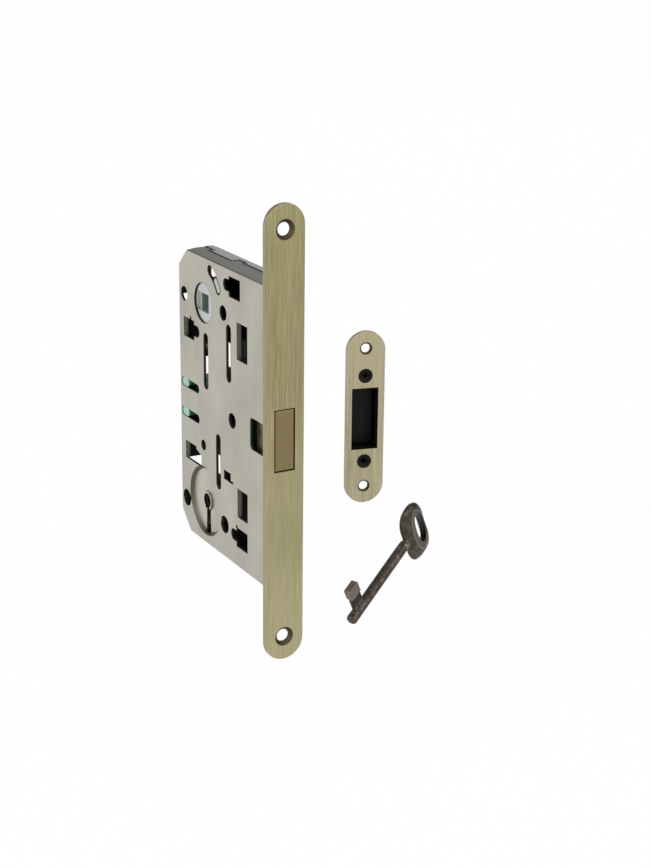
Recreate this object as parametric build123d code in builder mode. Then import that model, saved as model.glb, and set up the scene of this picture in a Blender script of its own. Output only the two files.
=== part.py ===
from build123d import *
import math
import os

os.makedirs("parts", exist_ok=True)

# Mortise sashlock with a flush magnetic bolt, its strike and its key. Sizes are millimetres.
# X points out of the forend, Y runs across the thickness of the lock and Z is up.
# The origin is on the front face of the forend, halfway between its two screw holes.

# Lock sizes that a catalogue would give
backset = 60.0
centres = 90.0
spindle_square = 8.1
follower_swing = 22.0
bolt_throw = 11.0

# Forend
forend_height = 196.0
forend_width = 18.0
forend_thickness = 2.0
forend_hole_spacing = 175.0
forend_hole_radius = 2.75
forend_sink_radius = 4.15
forend_edge_round = 0.4

# Case
case_thickness = 14.8
case_behind_hub = 24.0
case_above_hub = 20.0
case_below_key = 20.0
top_chamfer = 8.0
bottom_chamfer = 9.0
sheet = 1.2
bend_round = 1.0
seam_y = 2.4
seam_gap = 0.4
fixing_spacing = 38.0
rose_hole_radius = 3.3
escutcheon_hole_radius = 3.9
escutcheon_drop = 4.6
pillar_radius = 2.5
cover_screw_radius = 1.2
cover_screw_head_radius = 2.5
cover_screw_length = 8.0
cross_length = 3.4
cross_width = 0.7
cross_depth = 0.7
rivet_head_overhang = 1.0
rivet_head_height = 0.9

# Clearances
running_gap = 0.05
slide_gap = 0.15
body_gap = 0.3

# Levels shared by the pieces
hub_x = -backset
hub_z = centres / 2
key_z = -centres / 2
case_front = -forend_thickness
case_back = hub_x - case_behind_hub
case_top = hub_z + case_above_hub
case_bottom = key_z - case_below_key
near = -case_thickness / 2
far = case_thickness / 2
near_inner = near + sheet
far_inner = far - sheet


def layer(y):
    """Plane across the lock at the height y, seen from the near side: local x is X and local y is Z."""
    return Plane.XZ.offset(-y)


def turned(centre, radius, degrees):
    """Point at a radius and an angle about a centre, counted from +X towards +Z."""
    angle = math.radians(degrees)
    return (centre[0] + radius * math.cos(angle), centre[1] + radius * math.sin(angle))


def case_outline():
    """Outline of the case with its two cut corners at the back."""
    Polygon(
        (case_front, case_bottom),
        (case_front, case_top),
        (case_back + top_chamfer, case_top),
        (case_back, case_top - top_chamfer),
        (case_back, case_bottom + bottom_chamfer),
        (case_back + bottom_chamfer, case_bottom),
        align=None,
    )


def keyed_window(side):
    """Square window with a round-ended lobe on one side, where the sheet was lanced."""
    Rectangle(window_width, window_height)
    with Locations((side * (window_width / 2 + lobe_reach - lobe_length / 2), 0.2)):
        SlotOverall(lobe_length, lobe_height)


def finish_part(builder, name):
    """Label a finished piece and write it."""
    builder.part.label = name
    export_step(builder.part, f"parts/{name}.step")


# Bolt head and its window in the forend
head_height = 26.2
head_width = 8.9
head_length = 16.0
head_wall = 1.25
head_front_wall = 3.0
head_pocket_height = 18.0
head_edge_round = 0.6

# Follower, measured about the hub
journal_radius = 8.7
journal_recess = 0.6
hub_radius = 10.5
hub_centre = (hub_x, hub_z)
arc_slot_radius = 17.0
arc_slot_width = 4.6
arc_slot_start = 31.5
arc_slot_span = 35.3
tab_width = arc_slot_width - 2 * slide_gap
tab_span = arc_slot_span - follower_swing
tab_web_level = near_inner + body_gap + 1.3

# Draw lever between follower and bolt, in the layer next to the near side
lever_pivot = (hub_x + 8.7, hub_z - 23.0)
lever_far_y = near_inner + 3.6
lever_near_y = near_inner + 0.6
lever_reach = 23.5
lever_boss_radius = 4.0
lever_end_radius = 2.5
lever_stub_radius = 2.0
ball_radius = 2.2
ball_stem_width = 1.8
fork_gap = 0.2
fork_wall = 2.1
fork_overhang = 1.2
pivot_offset = (lever_pivot[0] - hub_x, lever_pivot[1] - hub_z)
pivot_distance = math.hypot(*pivot_offset)
pivot_angle = math.degrees(math.atan2(pivot_offset[1], pivot_offset[0]))
lever_swing = 2 * math.degrees(math.asin(bolt_throw / 2 / lever_reach))
fork_radius = pivot_distance * lever_swing / (lever_swing + follower_swing)
ball_reach = pivot_distance - fork_radius
lever_end_x = lever_pivot[0] + bolt_throw / 2
lever_end_z = lever_pivot[1] - math.sqrt(lever_reach**2 - (bolt_throw / 2) ** 2)
print("follower to lever ratio", round(fork_radius / ball_reach, 4), "lever swing", round(lever_swing, 3))

# Handle spring between the follower's arm and a seat on the far side
spring_z = hub_z - 13.8
spring_y = 1.8
handle_spring_radius = 3.0
handle_spring_bore = 2.0
spring_arm_half = 3.2
spring_arm_x = hub_x + 3.5
spring_seat_x = hub_x + 26.0
spring_seat_length = 3.0

# Bolt carrier, a slide whose four guides ride in slots in both case sides
carrier_half = 2.2
carrier_top = 7.5
carrier_bottom = -11.5
guide_slot_length = 17.8
guide_slot_height = 4.0
guide_slot_left = hub_x - 22.9
guide_slot_levels = (4.75, -9.0)
guide_height = guide_slot_height - 2 * slide_gap
guide_length = guide_slot_length - bolt_throw - body_gap - 2 * slide_gap
carrier_back = case_back + sheet + body_gap
tongue_height = 8.0
spring_window_top = 3.2
spring_window_bottom = -3.6
spring_window_back = hub_x + 10.0
spring_post_x = -27.0
spring_post_radius = 1.9
latch_spring_radius = 2.2
latch_spring_bore = 1.5
lug_length = 4.0
lug_top = 0.0
lug_gap = 0.6
lug_bottom = -4.0
lug_front = lever_pivot[0] - bolt_throw / 2 - lever_end_radius - lug_gap

# Deadlock slide that the key lifts, and the lever tumbler that holds it
slide_x = hub_x + 14.8
slide_near_y = -0.9
slide_far_y = 1.6
slide_lift = 5.0
nose_width = 4.4
nose_gap = 0.3
nose_top = carrier_bottom - 0.5
notch_depth = 5.0
stump_radius = 1.5
stump_z = key_z + 12.0
stud_radius = 1.8
stud_levels = (key_z + 9.0, key_z + 21.0)
stud_slot_half = 2.0
tumbler_near_y = -3.2
tumbler_far_y = -1.3
tumbler_pivot = (hub_x + 24.5, key_z + 28.5)
tumbler_lift = 6.0
tumbler_boss_radius = 4.0
tumbler_stub_radius = 2.0
gate_gap = 0.25
leg_radius = 7.5
leg_angle = -128.0
wire_radius = 0.45
spring_turns_height = 2.2

# Keyhole
key_hole_radius = 3.3
key_slot_width = 4.5
key_slot_neck = 3.6
key_slot_reach = 15.5
dish_radius = 15.9
dish_floor_radius = 14.4
dish_depth = 1.6
collar_radius = 4.1
collar_foot_radius = 4.6
collar_recess = 0.9

# Windows and slots of the near case side
window_width = 10.4
window_height = 8.8
lobe_height = 5.2
lobe_length = 9.0
lobe_reach = 5.2
window_depth = 2.2
window_tab = 1.0
tall_slot_length = 25.2
tall_slot_width = 4.6
tall_slots = (
    (hub_x + 2.0, hub_z - 25.4),
    (hub_x + 24.0, hub_z - 16.4),
    (hub_x + 13.4, key_z + 22.4),
)
keyed_windows = (
    (hub_x - 14.6, hub_z - 14.6, 1),
    (hub_x + 29.6, hub_z + 12.7, -1),
    (hub_x + 35.6, key_z - 6.2, -1),
)
plain_windows = (
    (hub_x + 36.4, hub_z - 8.9, 9.6, 16.0),
    (hub_x + 36.3, key_z + 9.7, 9.4, 13.0),
)
lance_marks = ((hub_x - 12.8, hub_z - 9.6), (hub_x + 30.7, key_z - 1.5))
lance_mark_size = 1.5
sight_hole = (hub_x + 26.9, 0.0)
sight_hole_radius = 3.4
oil_hole = (hub_x - 1.3, key_z + 25.7)
oil_hole_radius = 2.4
square_hole = (hub_x + 21.9, key_z + 18.6)
square_hole_width = 6.6
square_hole_height = 4.2
square_hole_tail = 4.4
latch_window_back = -16.5
latch_window_top = 6.6
latch_window_bottom = -7.2
latch_window_round = 2.0
pillar_places = (
    (-12.0, case_top - 7.0),
    (-12.0, case_bottom + 7.0),
    (hub_x - 16.5, hub_z - 23.5),
    (hub_x - 11.4, case_bottom + 4.3),
)
low_window_left = hub_x - 19.6
low_window_right = hub_x - 3.7
low_window_top = key_z + 22.8
low_window_bottom = key_z + 14.6
low_window = (
    (low_window_left, low_window_top),
    (hub_x - 8.8, low_window_top),
    (hub_x - 8.6, low_window_top - 1.2),
    (low_window_right, low_window_top - 2.6),
    (low_window_right, low_window_bottom),
    (low_window_left, low_window_bottom),
)
far_windows = (
    (hub_x - 5.0, hub_z - 25.7, 7.0, 11.6),
    (hub_x - 18.8, hub_z + 7.0, 6.2, 5.4),
    (hub_x - 16.0, key_z + 10.2, 7.0, 9.6),
)
back_openings = ((hub_z - 7.5, hub_z - 1.0), (4.5, 14.0), (key_z + 3.0, key_z + 13.0))

rose_holes = [(hub_x + side * fixing_spacing / 2, hub_z) for side in (-1, 1)]
escutcheon_holes = [(hub_x + side * fixing_spacing / 2, key_z - escutcheon_drop) for side in (-1, 1)]
arc_slot_path = CenterArc(hub_centre, arc_slot_radius, arc_slot_start, arc_slot_span)
tab_path = CenterArc(hub_centre, arc_slot_radius, arc_slot_start, tab_span)
leg_slot_path = CenterArc(tumbler_pivot, leg_radius, leg_angle, tumbler_lift)

# Slot below the keyhole's round hole, a little wider at its foot
key_slot_foot = key_z - key_slot_reach
key_slot = (
    (hub_x - key_slot_neck / 2, key_z),
    (hub_x + key_slot_neck / 2, key_z),
    (hub_x + key_slot_width / 2, key_slot_foot),
    (hub_x - key_slot_width / 2, key_slot_foot),
)

# Lips of the top folds, which run on a little behind the cut corner
corner_x = case_back + top_chamfer
case_lip_back = corner_x - 1.7
case_lip = (
    (corner_x, near_inner + 0.8),
    (corner_x - 1.2, -4.2),
    (case_lip_back, -1.5),
    (case_lip_back, seam_y),
)
case_lip_root = ((corner_x + 0.6, seam_y), (corner_x + 0.6, near_inner + 0.8))
cover_lip = 2.6

# Interlocking tabs of the folded edges, drawn on the top and bottom of the case
cover_tab = ((hub_x - 9.8, -1.9), (hub_x + 11.5, -1.9), (hub_x + 11.5, 1.0), (hub_x - 9.0, 1.0))
case_tab = ((hub_x + 12.3, -1.0), (hub_x + 18.2, -1.0), (hub_x + 18.2, 1.4), (hub_x + 12.3, 1.4))
cover_tab = [(x, seam_y + y) for x, y in cover_tab]
case_tab = [(x, seam_y + y) for x, y in case_tab]

# Forend: a plate with round ends, a window for the bolt and two countersunk screw holes
with BuildPart() as forend:
    with BuildSketch(Plane.YZ):
        SlotOverall(forend_height, forend_width, rotation=90)
    extrude(amount=-forend_thickness)
    front_edges = forend.faces().sort_by(Axis.X)[-1].edges()
    fillet(front_edges, radius=forend_edge_round)
    with BuildSketch(Plane.YZ):
        Rectangle(head_width + 2 * slide_gap, head_height + 2 * slide_gap)
    extrude(amount=-forend_thickness, mode=Mode.SUBTRACT)
    with Locations(Plane.YZ):
        with Locations((0, forend_hole_spacing / 2), (0, -forend_hole_spacing / 2)):
            CounterSinkHole(forend_hole_radius, forend_sink_radius, counter_sink_angle=90)
    rivet_plane = Plane.YZ.offset(case_front)
    rivet_y = -2.4
    rivet_places = ((rivet_y, 40.0), (rivet_y, 22.0), (rivet_y, -22.0), (rivet_y, -40.0))
    rivet_radius = 1.5
    rivet_depth = 1.4
    with BuildSketch(rivet_plane):
        with Locations(*rivet_places):
            Circle(rivet_radius)
    extrude(amount=rivet_depth, mode=Mode.SUBTRACT)
finish_part(forend, "forend")

# Case shell: a folded tray that carries the near side with all its openings
with BuildPart() as case_shell:
    with BuildSketch(layer(seam_y)):
        case_outline()
    extrude(amount=seam_y - near)
    near_edges = case_shell.faces().sort_by(Axis.Y)[0].edges()
    long_edges = near_edges.filter_by(Axis.X)
    fillet(long_edges, radius=bend_round)
    with BuildSketch(layer(seam_y)):
        case_outline()
        offset(amount=-sheet, kind=Kind.INTERSECTION)
    extrude(amount=seam_y - near_inner, mode=Mode.SUBTRACT)
    # Dish pressed in round the keyhole, with a collar standing in its middle
    dish_plane = Plane(origin=(hub_x, 0, key_z), x_dir=(1, 0, 0), z_dir=(0, 0, 1))
    dish_axis = Axis((hub_x, 0, key_z), (0, 1, 0))
    with BuildSketch(dish_plane):
        Polygon(
            (0, near),
            (dish_radius, near),
            (dish_radius, near_inner),
            (dish_floor_radius, near_inner + dish_depth),
            (0, near_inner + dish_depth),
            align=None,
        )
    revolve(axis=dish_axis)
    with BuildSketch(dish_plane):
        Polygon(
            (0, near - sheet),
            (dish_radius, near - sheet),
            (dish_radius, near),
            (dish_floor_radius, near + dish_depth),
            (collar_foot_radius, near + dish_depth),
            (collar_radius, near + collar_recess),
            (0, near + collar_recess),
            align=None,
        )
    revolve(axis=dish_axis, mode=Mode.SUBTRACT)
    # Lanced tabs that stand inwards along the left edge of each window
    with BuildSketch(layer(near_inner + window_depth - sheet)):
        for x, z, side in keyed_windows[:1]:
            with Locations((x - window_width / 2 - window_tab / 2, z)):
                Rectangle(window_tab, window_height)
        for x, z, width, height in plain_windows:
            with Locations((x - width / 2 - window_tab / 2, z)):
                Rectangle(window_tab, height)
        with Locations((low_window_left - window_tab / 2, (low_window_top + low_window_bottom) / 2)):
            Rectangle(window_tab, low_window_top - low_window_bottom)
    extrude(amount=window_depth - sheet)
    # Openings through the near side
    with BuildSketch(layer(near_inner + dish_depth + sheet)):
        with Locations(*rose_holes):
            Circle(rose_hole_radius)
        with Locations(*escutcheon_holes):
            Circle(escutcheon_hole_radius)
        with Locations(hub_centre):
            Circle(journal_radius + running_gap)
        SlotArc(arc_slot_path, arc_slot_width)
        with Locations(*tall_slots):
            SlotOverall(tall_slot_length, tall_slot_width, rotation=90)
        for x, z, side in keyed_windows:
            with Locations((x, z)):
                keyed_window(side)
        for x, z, width, height in plain_windows:
            with Locations((x, z)):
                Rectangle(width, height)
        with Locations(*lance_marks):
            Rectangle(lance_mark_size, lance_mark_size)
        for level in guide_slot_levels:
            with Locations((guide_slot_left + guide_slot_length / 2, level)):
                SlotOverall(guide_slot_length, guide_slot_height)
        with Locations(sight_hole):
            Circle(sight_hole_radius)
        with Locations(oil_hole):
            Circle(oil_hole_radius)
        Polygon(*low_window, align=None)
        with Locations(square_hole):
            Rectangle(square_hole_width, square_hole_height)
        with Locations((square_hole[0] + square_hole_width / 2, square_hole[1] - 1.6)):
            Rectangle(square_hole_tail, 1.2)
        with Locations((hub_x, key_z)):
            Circle(key_hole_radius)
        Polygon(*key_slot, align=None)
    extrude(amount=dish_depth + 3 * sheet, mode=Mode.SUBTRACT)
    # Window beside the bolt, open to the forend
    with BuildSketch(layer(near_inner)) as latch_window:
        with Locations(((latch_window_back + case_front) / 2, (latch_window_top + latch_window_bottom) / 2)):
            Rectangle(case_front - latch_window_back, latch_window_top - latch_window_bottom)
        fillet(latch_window.vertices().group_by(Axis.X)[0], radius=latch_window_round)
    extrude(amount=sheet, mode=Mode.SUBTRACT)
    # Bolt opening and rivet holes in the front fold
    with BuildSketch(Plane.YZ.offset(case_front)):
        Rectangle(head_width + 2 * slide_gap, head_height + 2 * slide_gap)
        with Locations(*rivet_places):
            Circle(rivet_radius)
    extrude(amount=-sheet, mode=Mode.SUBTRACT)
    # Openings in the back fold
    with BuildSketch(Plane.YZ.offset(case_back)):
        for low, high in back_openings:
            with Locations(((near_inner + seam_y) / 2 + sheet, (low + high) / 2)):
                Rectangle(seam_y - near_inner + 2 * sheet, high - low)
    extrude(amount=sheet, mode=Mode.SUBTRACT)
    # Lip behind the cut corner and interlocking tabs
    with BuildSketch(Plane.XY.offset(case_top - sheet)):
        Polygon(*case_lip, *case_lip_root, align=None)
    extrude(amount=sheet)
    with BuildSketch(Plane.XY.offset(case_bottom)):
        Polygon(*case_tab, align=None)
    extrude(amount=sheet)
    with BuildSketch(Plane.XY.offset(case_top - sheet)):
        Polygon(*case_tab, align=None)
    extrude(amount=sheet)
    with BuildSketch(Plane.XY.offset(case_bottom)):
        Polygon(*cover_tab, align=None)
        offset(amount=seam_gap, kind=Kind.INTERSECTION)
    extrude(amount=sheet, mode=Mode.SUBTRACT)
    with BuildSketch(Plane.XY.offset(case_top - sheet)):
        Polygon(*cover_tab, align=None)
        offset(amount=seam_gap, kind=Kind.INTERSECTION)
    extrude(amount=sheet, mode=Mode.SUBTRACT)
finish_part(case_shell, "case_shell")

# Cover shell: the far side, folded over to meet the tray at the seam
cover_edge = seam_y + seam_gap
with BuildPart() as cover_shell:
    with BuildSketch(layer(far)):
        case_outline()
    extrude(amount=far - cover_edge)
    far_edges = cover_shell.faces().sort_by(Axis.Y)[-1].edges()
    fillet(far_edges.filter_by(Axis.X), radius=bend_round)
    with BuildSketch(layer(far_inner)):
        case_outline()
        offset(amount=-sheet, kind=Kind.INTERSECTION)
    extrude(amount=far_inner - cover_edge, mode=Mode.SUBTRACT)
    with BuildSketch(Plane.XY.offset(case_top - sheet)):
        with Locations((corner_x - cover_lip / 2 + 0.3, (cover_edge + far_inner) / 2)):
            Rectangle(cover_lip + 0.6, far_inner - cover_edge)
    extrude(amount=sheet)
    with BuildSketch(Plane.XY.offset(case_bottom)):
        Polygon(*cover_tab, align=None)
    extrude(amount=sheet)
    with BuildSketch(Plane.XY.offset(case_top - sheet)):
        Polygon(*cover_tab, align=None)
    extrude(amount=sheet)
    with BuildSketch(Plane.XY.offset(case_bottom)):
        Polygon(*case_tab, align=None)
        offset(amount=seam_gap, kind=Kind.INTERSECTION)
    extrude(amount=sheet, mode=Mode.SUBTRACT)
    with BuildSketch(Plane.XY.offset(case_top - sheet)):
        Polygon(*case_tab, align=None)
        offset(amount=seam_gap, kind=Kind.INTERSECTION)
    extrude(amount=sheet, mode=Mode.SUBTRACT)
    with BuildSketch(layer(far)):
        with Locations(*rose_holes):
            Circle(rose_hole_radius)
        with Locations(*escutcheon_holes):
            Circle(escutcheon_hole_radius)
        with Locations(hub_centre):
            Circle(journal_radius + running_gap)
        for level in guide_slot_levels:
            with Locations((guide_slot_left + guide_slot_length / 2, level)):
                SlotOverall(guide_slot_length, guide_slot_height)
        with Locations((hub_x, key_z)):
            Circle(key_hole_radius)
        Polygon(*key_slot, align=None)
        stud_slot_low = stud_levels[0] - stud_slot_half
        stud_slot_high = stud_levels[1] + slide_lift + stud_slot_half
        with Locations((slide_x, (stud_slot_low + stud_slot_high) / 2)):
            SlotOverall(stud_slot_high - stud_slot_low, 2 * stud_slot_half, rotation=90)
        for x, z, width, height in far_windows:
            with Locations((x, z)):
                Rectangle(width, height)
    extrude(amount=sheet, mode=Mode.SUBTRACT)
    with BuildSketch(Plane.YZ.offset(case_front)):
        Rectangle(head_width + 2 * slide_gap, head_height + 2 * slide_gap)
    extrude(amount=-sheet, mode=Mode.SUBTRACT)
    with BuildSketch(Plane.YZ.offset(case_back)):
        for low, high in back_openings:
            with Locations(((far_inner + cover_edge) / 2, (low + high) / 2)):
                Rectangle(far_inner - cover_edge, high - low)
    extrude(amount=sheet, mode=Mode.SUBTRACT)
    with Locations(Plane(origin=(0, far, 0), x_dir=(1, 0, 0), z_dir=(0, 1, 0))):
        with Locations(*[(x, -z) for x, z in pillar_places]):
            CounterSinkHole(cover_screw_radius + running_gap, cover_screw_head_radius, depth=sheet)
finish_part(cover_shell, "cover_shell")

# Pillars between the two sides, tapped for the cover screws
with BuildPart() as case_pillars:
    with BuildSketch(layer(far_inner)):
        with Locations(*pillar_places):
            Circle(pillar_radius)
    extrude(amount=far_inner - near_inner)
    with BuildSketch(layer(far_inner)):
        with Locations(*pillar_places):
            Circle(cover_screw_radius + running_gap)
    extrude(amount=cover_screw_length, mode=Mode.SUBTRACT)
finish_part(case_pillars, "case_pillars")

# Countersunk screws that hold the cover to the pillars
with BuildPart() as cover_screws:
    for x, z in pillar_places:
        with BuildSketch(Plane(origin=(x, 0, z), x_dir=(1, 0, 0), z_dir=(0, 0, -1))):
            Polygon(
                (0, -far),
                (cover_screw_head_radius - running_gap, -far),
                (cover_screw_radius, -far + cover_screw_head_radius - cover_screw_radius - running_gap),
                (cover_screw_radius, -far + cover_screw_length),
                (0, -far + cover_screw_length),
                align=None,
            )
        revolve(axis=Axis((x, 0, z), (0, 1, 0)))
    with BuildSketch(layer(far)):
        with Locations(*pillar_places):
            Rectangle(cross_length, cross_width)
            Rectangle(cross_width, cross_length)
    extrude(amount=cross_depth, mode=Mode.SUBTRACT)
finish_part(cover_screws, "cover_screws")

# Rivets that hold the front fold to the back of the forend
with BuildPart() as forend_rivets:
    with BuildSketch(rivet_plane.offset(rivet_depth)):
        with Locations(*rivet_places):
            Circle(rivet_radius)
    extrude(amount=-(rivet_depth + sheet))
    with BuildSketch(rivet_plane.offset(-sheet)):
        with Locations(*rivet_places):
            Circle(rivet_radius + rivet_head_overhang)
    extrude(amount=-rivet_head_height)
finish_part(forend_rivets, "forend_rivets")

# Bolt head with a pocket that opens to the back
with BuildPart() as latch_head:
    with BuildSketch(Plane.YZ):
        Rectangle(head_width, head_height)
    extrude(amount=-head_length)
    fillet(latch_head.faces().sort_by(Axis.X)[-1].edges(), radius=head_edge_round)
    with BuildSketch(Plane.YZ.offset(-head_length)):
        Rectangle(head_width - 2 * head_wall, head_pocket_height)
    extrude(amount=head_length - head_front_wall, mode=Mode.SUBTRACT)
    pin_x = -head_length + 3.0
    pin_radius = 1.25
    with BuildSketch(layer(head_width / 2)):
        with Locations((pin_x, 0)):
            Circle(pin_radius)
    extrude(amount=head_width, mode=Mode.SUBTRACT)
finish_part(latch_head, "latch_head")

# Magnet at the bottom of the pocket
magnet_length = 5.8
with BuildPart() as latch_magnet:
    with BuildSketch(Plane.YZ.offset(-head_front_wall)):
        Rectangle(head_width - 2 * head_wall - 2 * running_gap, head_pocket_height - 2 * running_gap)
    extrude(amount=-magnet_length)
    chamfer(latch_magnet.edges().filter_by(Axis.X), length=0.4)
finish_part(latch_magnet, "latch_magnet")

# Carrier with its tongue in the head, its guides, its lug and the two notches for the deadlock
tongue_front = -head_front_wall - magnet_length
spring_window_front = spring_post_x + spring_post_radius + 1.1
notch_places = (slide_x, slide_x - bolt_throw)
with BuildPart() as latch_carrier:
    with BuildSketch(layer(carrier_half)):
        with Locations(((carrier_back - head_length) / 2, (carrier_top + carrier_bottom) / 2)):
            Rectangle(-head_length - carrier_back, carrier_top - carrier_bottom)
        with Locations(((-head_length + tongue_front) / 2, 0)):
            Rectangle(head_length + tongue_front, tongue_height)
        spring_window_x = (spring_window_back + spring_window_front) / 2
        spring_window_z = (spring_window_top + spring_window_bottom) / 2
        with Locations((spring_window_x, spring_window_z)):
            Rectangle(
                spring_window_front - spring_window_back,
                spring_window_top - spring_window_bottom,
                mode=Mode.SUBTRACT,
            )
        for x in notch_places:
            with Locations((x, carrier_bottom + notch_depth / 2)):
                Rectangle(nose_width + 2 * nose_gap, notch_depth, mode=Mode.SUBTRACT)
    extrude(amount=2 * carrier_half)
    with BuildSketch(layer(head_width / 2 - head_wall - running_gap)):
        with Locations(((-head_length + tongue_front) / 2, 0)):
            Rectangle(head_length + tongue_front, tongue_height)
    extrude(amount=head_width - 2 * head_wall - 2 * running_gap)
    with BuildSketch(layer(far - body_gap)):
        for level in guide_slot_levels:
            with Locations((carrier_back + guide_length / 2, level)):
                SlotOverall(guide_length, guide_height)
    extrude(amount=case_thickness - 2 * body_gap)
    with BuildSketch(layer(-carrier_half)):
        with Locations((lug_front - lug_length / 2, (lug_top + lug_bottom) / 2)):
            Rectangle(lug_length, lug_top - lug_bottom)
    extrude(amount=-carrier_half - lever_near_y)
    with BuildSketch(layer(head_width / 2)):
        with Locations((pin_x, 0)):
            Circle(pin_radius)
    extrude(amount=head_width, mode=Mode.SUBTRACT)
finish_part(latch_carrier, "latch_carrier")

# Cross pin through head and tongue
with BuildPart() as latch_pin:
    with BuildSketch(layer(head_width / 2)):
        with Locations((pin_x, 0)):
            Circle(pin_radius - running_gap / 2)
    extrude(amount=head_width)
finish_part(latch_pin, "latch_pin")

# Nylon guides above and below the head
guide_block_height = 2.4
guide_block_depth = 11.0
with BuildPart() as latch_guides:
    guide_block_x = case_front - sheet - guide_block_depth / 2
    guide_block_z = head_height / 2 + slide_gap + guide_block_height / 2
    with BuildSketch(layer(far_inner)):
        with Locations((guide_block_x, guide_block_z), (guide_block_x, -guide_block_z)):
            Rectangle(guide_block_depth, guide_block_height)
    extrude(amount=far_inner - near_inner)
    chamfer(latch_guides.edges().filter_by(Axis.Y).group_by(Axis.X)[0], length=0.8)
finish_part(latch_guides, "latch_guides")

# Return spring of the bolt, in the carrier's window, and the post that it bears on
with BuildPart() as latch_spring:
    latch_spring_front = spring_post_x - spring_post_radius
    with BuildSketch(Plane.YZ.offset(latch_spring_front)):
        with Locations((0, spring_window_z)):
            Circle(latch_spring_radius)
            Circle(latch_spring_bore, mode=Mode.SUBTRACT)
    extrude(amount=-(latch_spring_front - spring_window_back))
finish_part(latch_spring, "latch_spring")

with BuildPart() as latch_spring_post:
    with BuildSketch(layer(far_inner)):
        with Locations((spring_post_x, spring_window_z)):
            Circle(spring_post_radius)
    extrude(amount=far_inner - near_inner)
finish_part(latch_spring_post, "latch_spring_post")

# Follower: hub with the spindle square, fork for the lever, spring arm and the tab in the curved slot
fork_angle = pivot_angle - follower_swing / 2
fork_tip = fork_radius + fork_overhang
fork_floor = fork_radius - ball_radius - fork_gap - 0.7
fork_width = 2 * (ball_radius + fork_gap)
with BuildPart() as follower:
    with BuildSketch(layer(far - journal_recess)):
        with Locations(hub_centre):
            Circle(journal_radius)
    extrude(amount=case_thickness - 2 * journal_recess)
    with BuildSketch(layer(far_inner - body_gap)):
        with Locations(hub_centre):
            Circle(hub_radius)
    extrude(amount=far_inner - near_inner - 2 * body_gap)
    with BuildSketch(layer(lever_far_y)):
        with Locations(Location((*turned(hub_centre, fork_tip / 2, fork_angle), 0), (0, 0, fork_angle))):
            Rectangle(fork_tip, fork_width + 2 * fork_wall)
    extrude(amount=lever_far_y - near_inner - body_gap)
    with BuildSketch(layer(lever_far_y + body_gap)):
        slot_centre = (fork_floor + fork_tip + 1.0) / 2
        with Locations(Location((*turned(hub_centre, slot_centre, fork_angle), 0), (0, 0, fork_angle))):
            Rectangle(fork_tip + 1.0 - fork_floor, fork_width)
    extrude(amount=lever_far_y + body_gap - near_inner, mode=Mode.SUBTRACT)
    with BuildSketch(layer(spring_y + spring_arm_half)):
        with Locations(((hub_x - 2.2 + spring_arm_x) / 2, (hub_z + spring_z) / 2 - 1.5)):
            Rectangle(spring_arm_x - hub_x + 2.2, hub_z - spring_z + 3.0)
    extrude(amount=2 * spring_arm_half)
    with BuildSketch(layer(tab_web_level)):
        Polygon(
            hub_centre,
            turned(hub_centre, arc_slot_radius + tab_width / 2 - 0.1, arc_slot_start - 4.0),
            turned(hub_centre, arc_slot_radius + tab_width / 2 - 0.1, arc_slot_start + tab_span + 4.0),
            align=None,
        )
    extrude(amount=tab_web_level - near_inner - body_gap)
    with BuildSketch(layer(tab_web_level)):
        SlotArc(tab_path, tab_width)
    extrude(amount=tab_web_level - near - slide_gap)
    with BuildSketch(layer(far)):
        with Locations(hub_centre):
            Rectangle(spindle_square, spindle_square)
    extrude(amount=case_thickness, mode=Mode.SUBTRACT)
    with BuildSketch(layer(near + journal_recess + 0.8)):
        with Locations((hub_x - spindle_square / 2 - 1.3, hub_z)):
            Rectangle(2.6, spindle_square)
    extrude(amount=0.8 + journal_recess, mode=Mode.SUBTRACT)
finish_part(follower, "follower")

# Draw lever: a ball in the follower's fork, a boss on its stub and an arm behind the carrier's lug
ball_angle = pivot_angle + 180 + lever_swing / 2
with BuildPart() as draw_lever:
    with BuildSketch(layer(lever_far_y)):
        with Locations(lever_pivot):
            Circle(lever_boss_radius)
        with Locations((lever_end_x, lever_end_z)):
            Circle(lever_end_radius)
        make_hull()
    extrude(amount=lever_far_y - lever_near_y)
    with BuildSketch(layer(lever_far_y)):
        with Locations(turned(lever_pivot, ball_reach, ball_angle)):
            Circle(ball_radius)
        with Locations(Location((*turned(lever_pivot, ball_reach / 2, ball_angle), 0), (0, 0, ball_angle))):
            Rectangle(ball_reach, ball_stem_width)
    extrude(amount=lever_far_y - lever_near_y)
    with BuildSketch(layer(lever_far_y)):
        with Locations(lever_pivot):
            Circle(lever_stub_radius + running_gap)
    extrude(amount=lever_far_y - lever_near_y, mode=Mode.SUBTRACT)
finish_part(draw_lever, "draw_lever")

# Shouldered stub on the near side that the lever turns on
with BuildPart() as draw_lever_stub:
    with BuildSketch(layer(lever_far_y + body_gap)):
        with Locations(lever_pivot):
            Circle(lever_stub_radius)
    extrude(amount=lever_far_y + body_gap - near_inner)
    with BuildSketch(layer(lever_near_y - body_gap / 2)):
        with Locations(lever_pivot):
            Circle(lever_boss_radius - 0.6)
    extrude(amount=lever_near_y - body_gap / 2 - near_inner)
    with BuildSketch(layer(lever_far_y + body_gap + 0.6)):
        with Locations(lever_pivot):
            Circle(lever_boss_radius - 0.9)
    extrude(amount=0.6)
finish_part(draw_lever_stub, "draw_lever_stub")

# Handle spring and its seat
with BuildPart() as handle_spring:
    with BuildSketch(Plane.YZ.offset(spring_seat_x)):
        with Locations((spring_y, spring_z)):
            Circle(handle_spring_radius)
            Circle(handle_spring_bore, mode=Mode.SUBTRACT)
    extrude(amount=-(spring_seat_x - spring_arm_x))
finish_part(handle_spring, "handle_spring")

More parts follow.
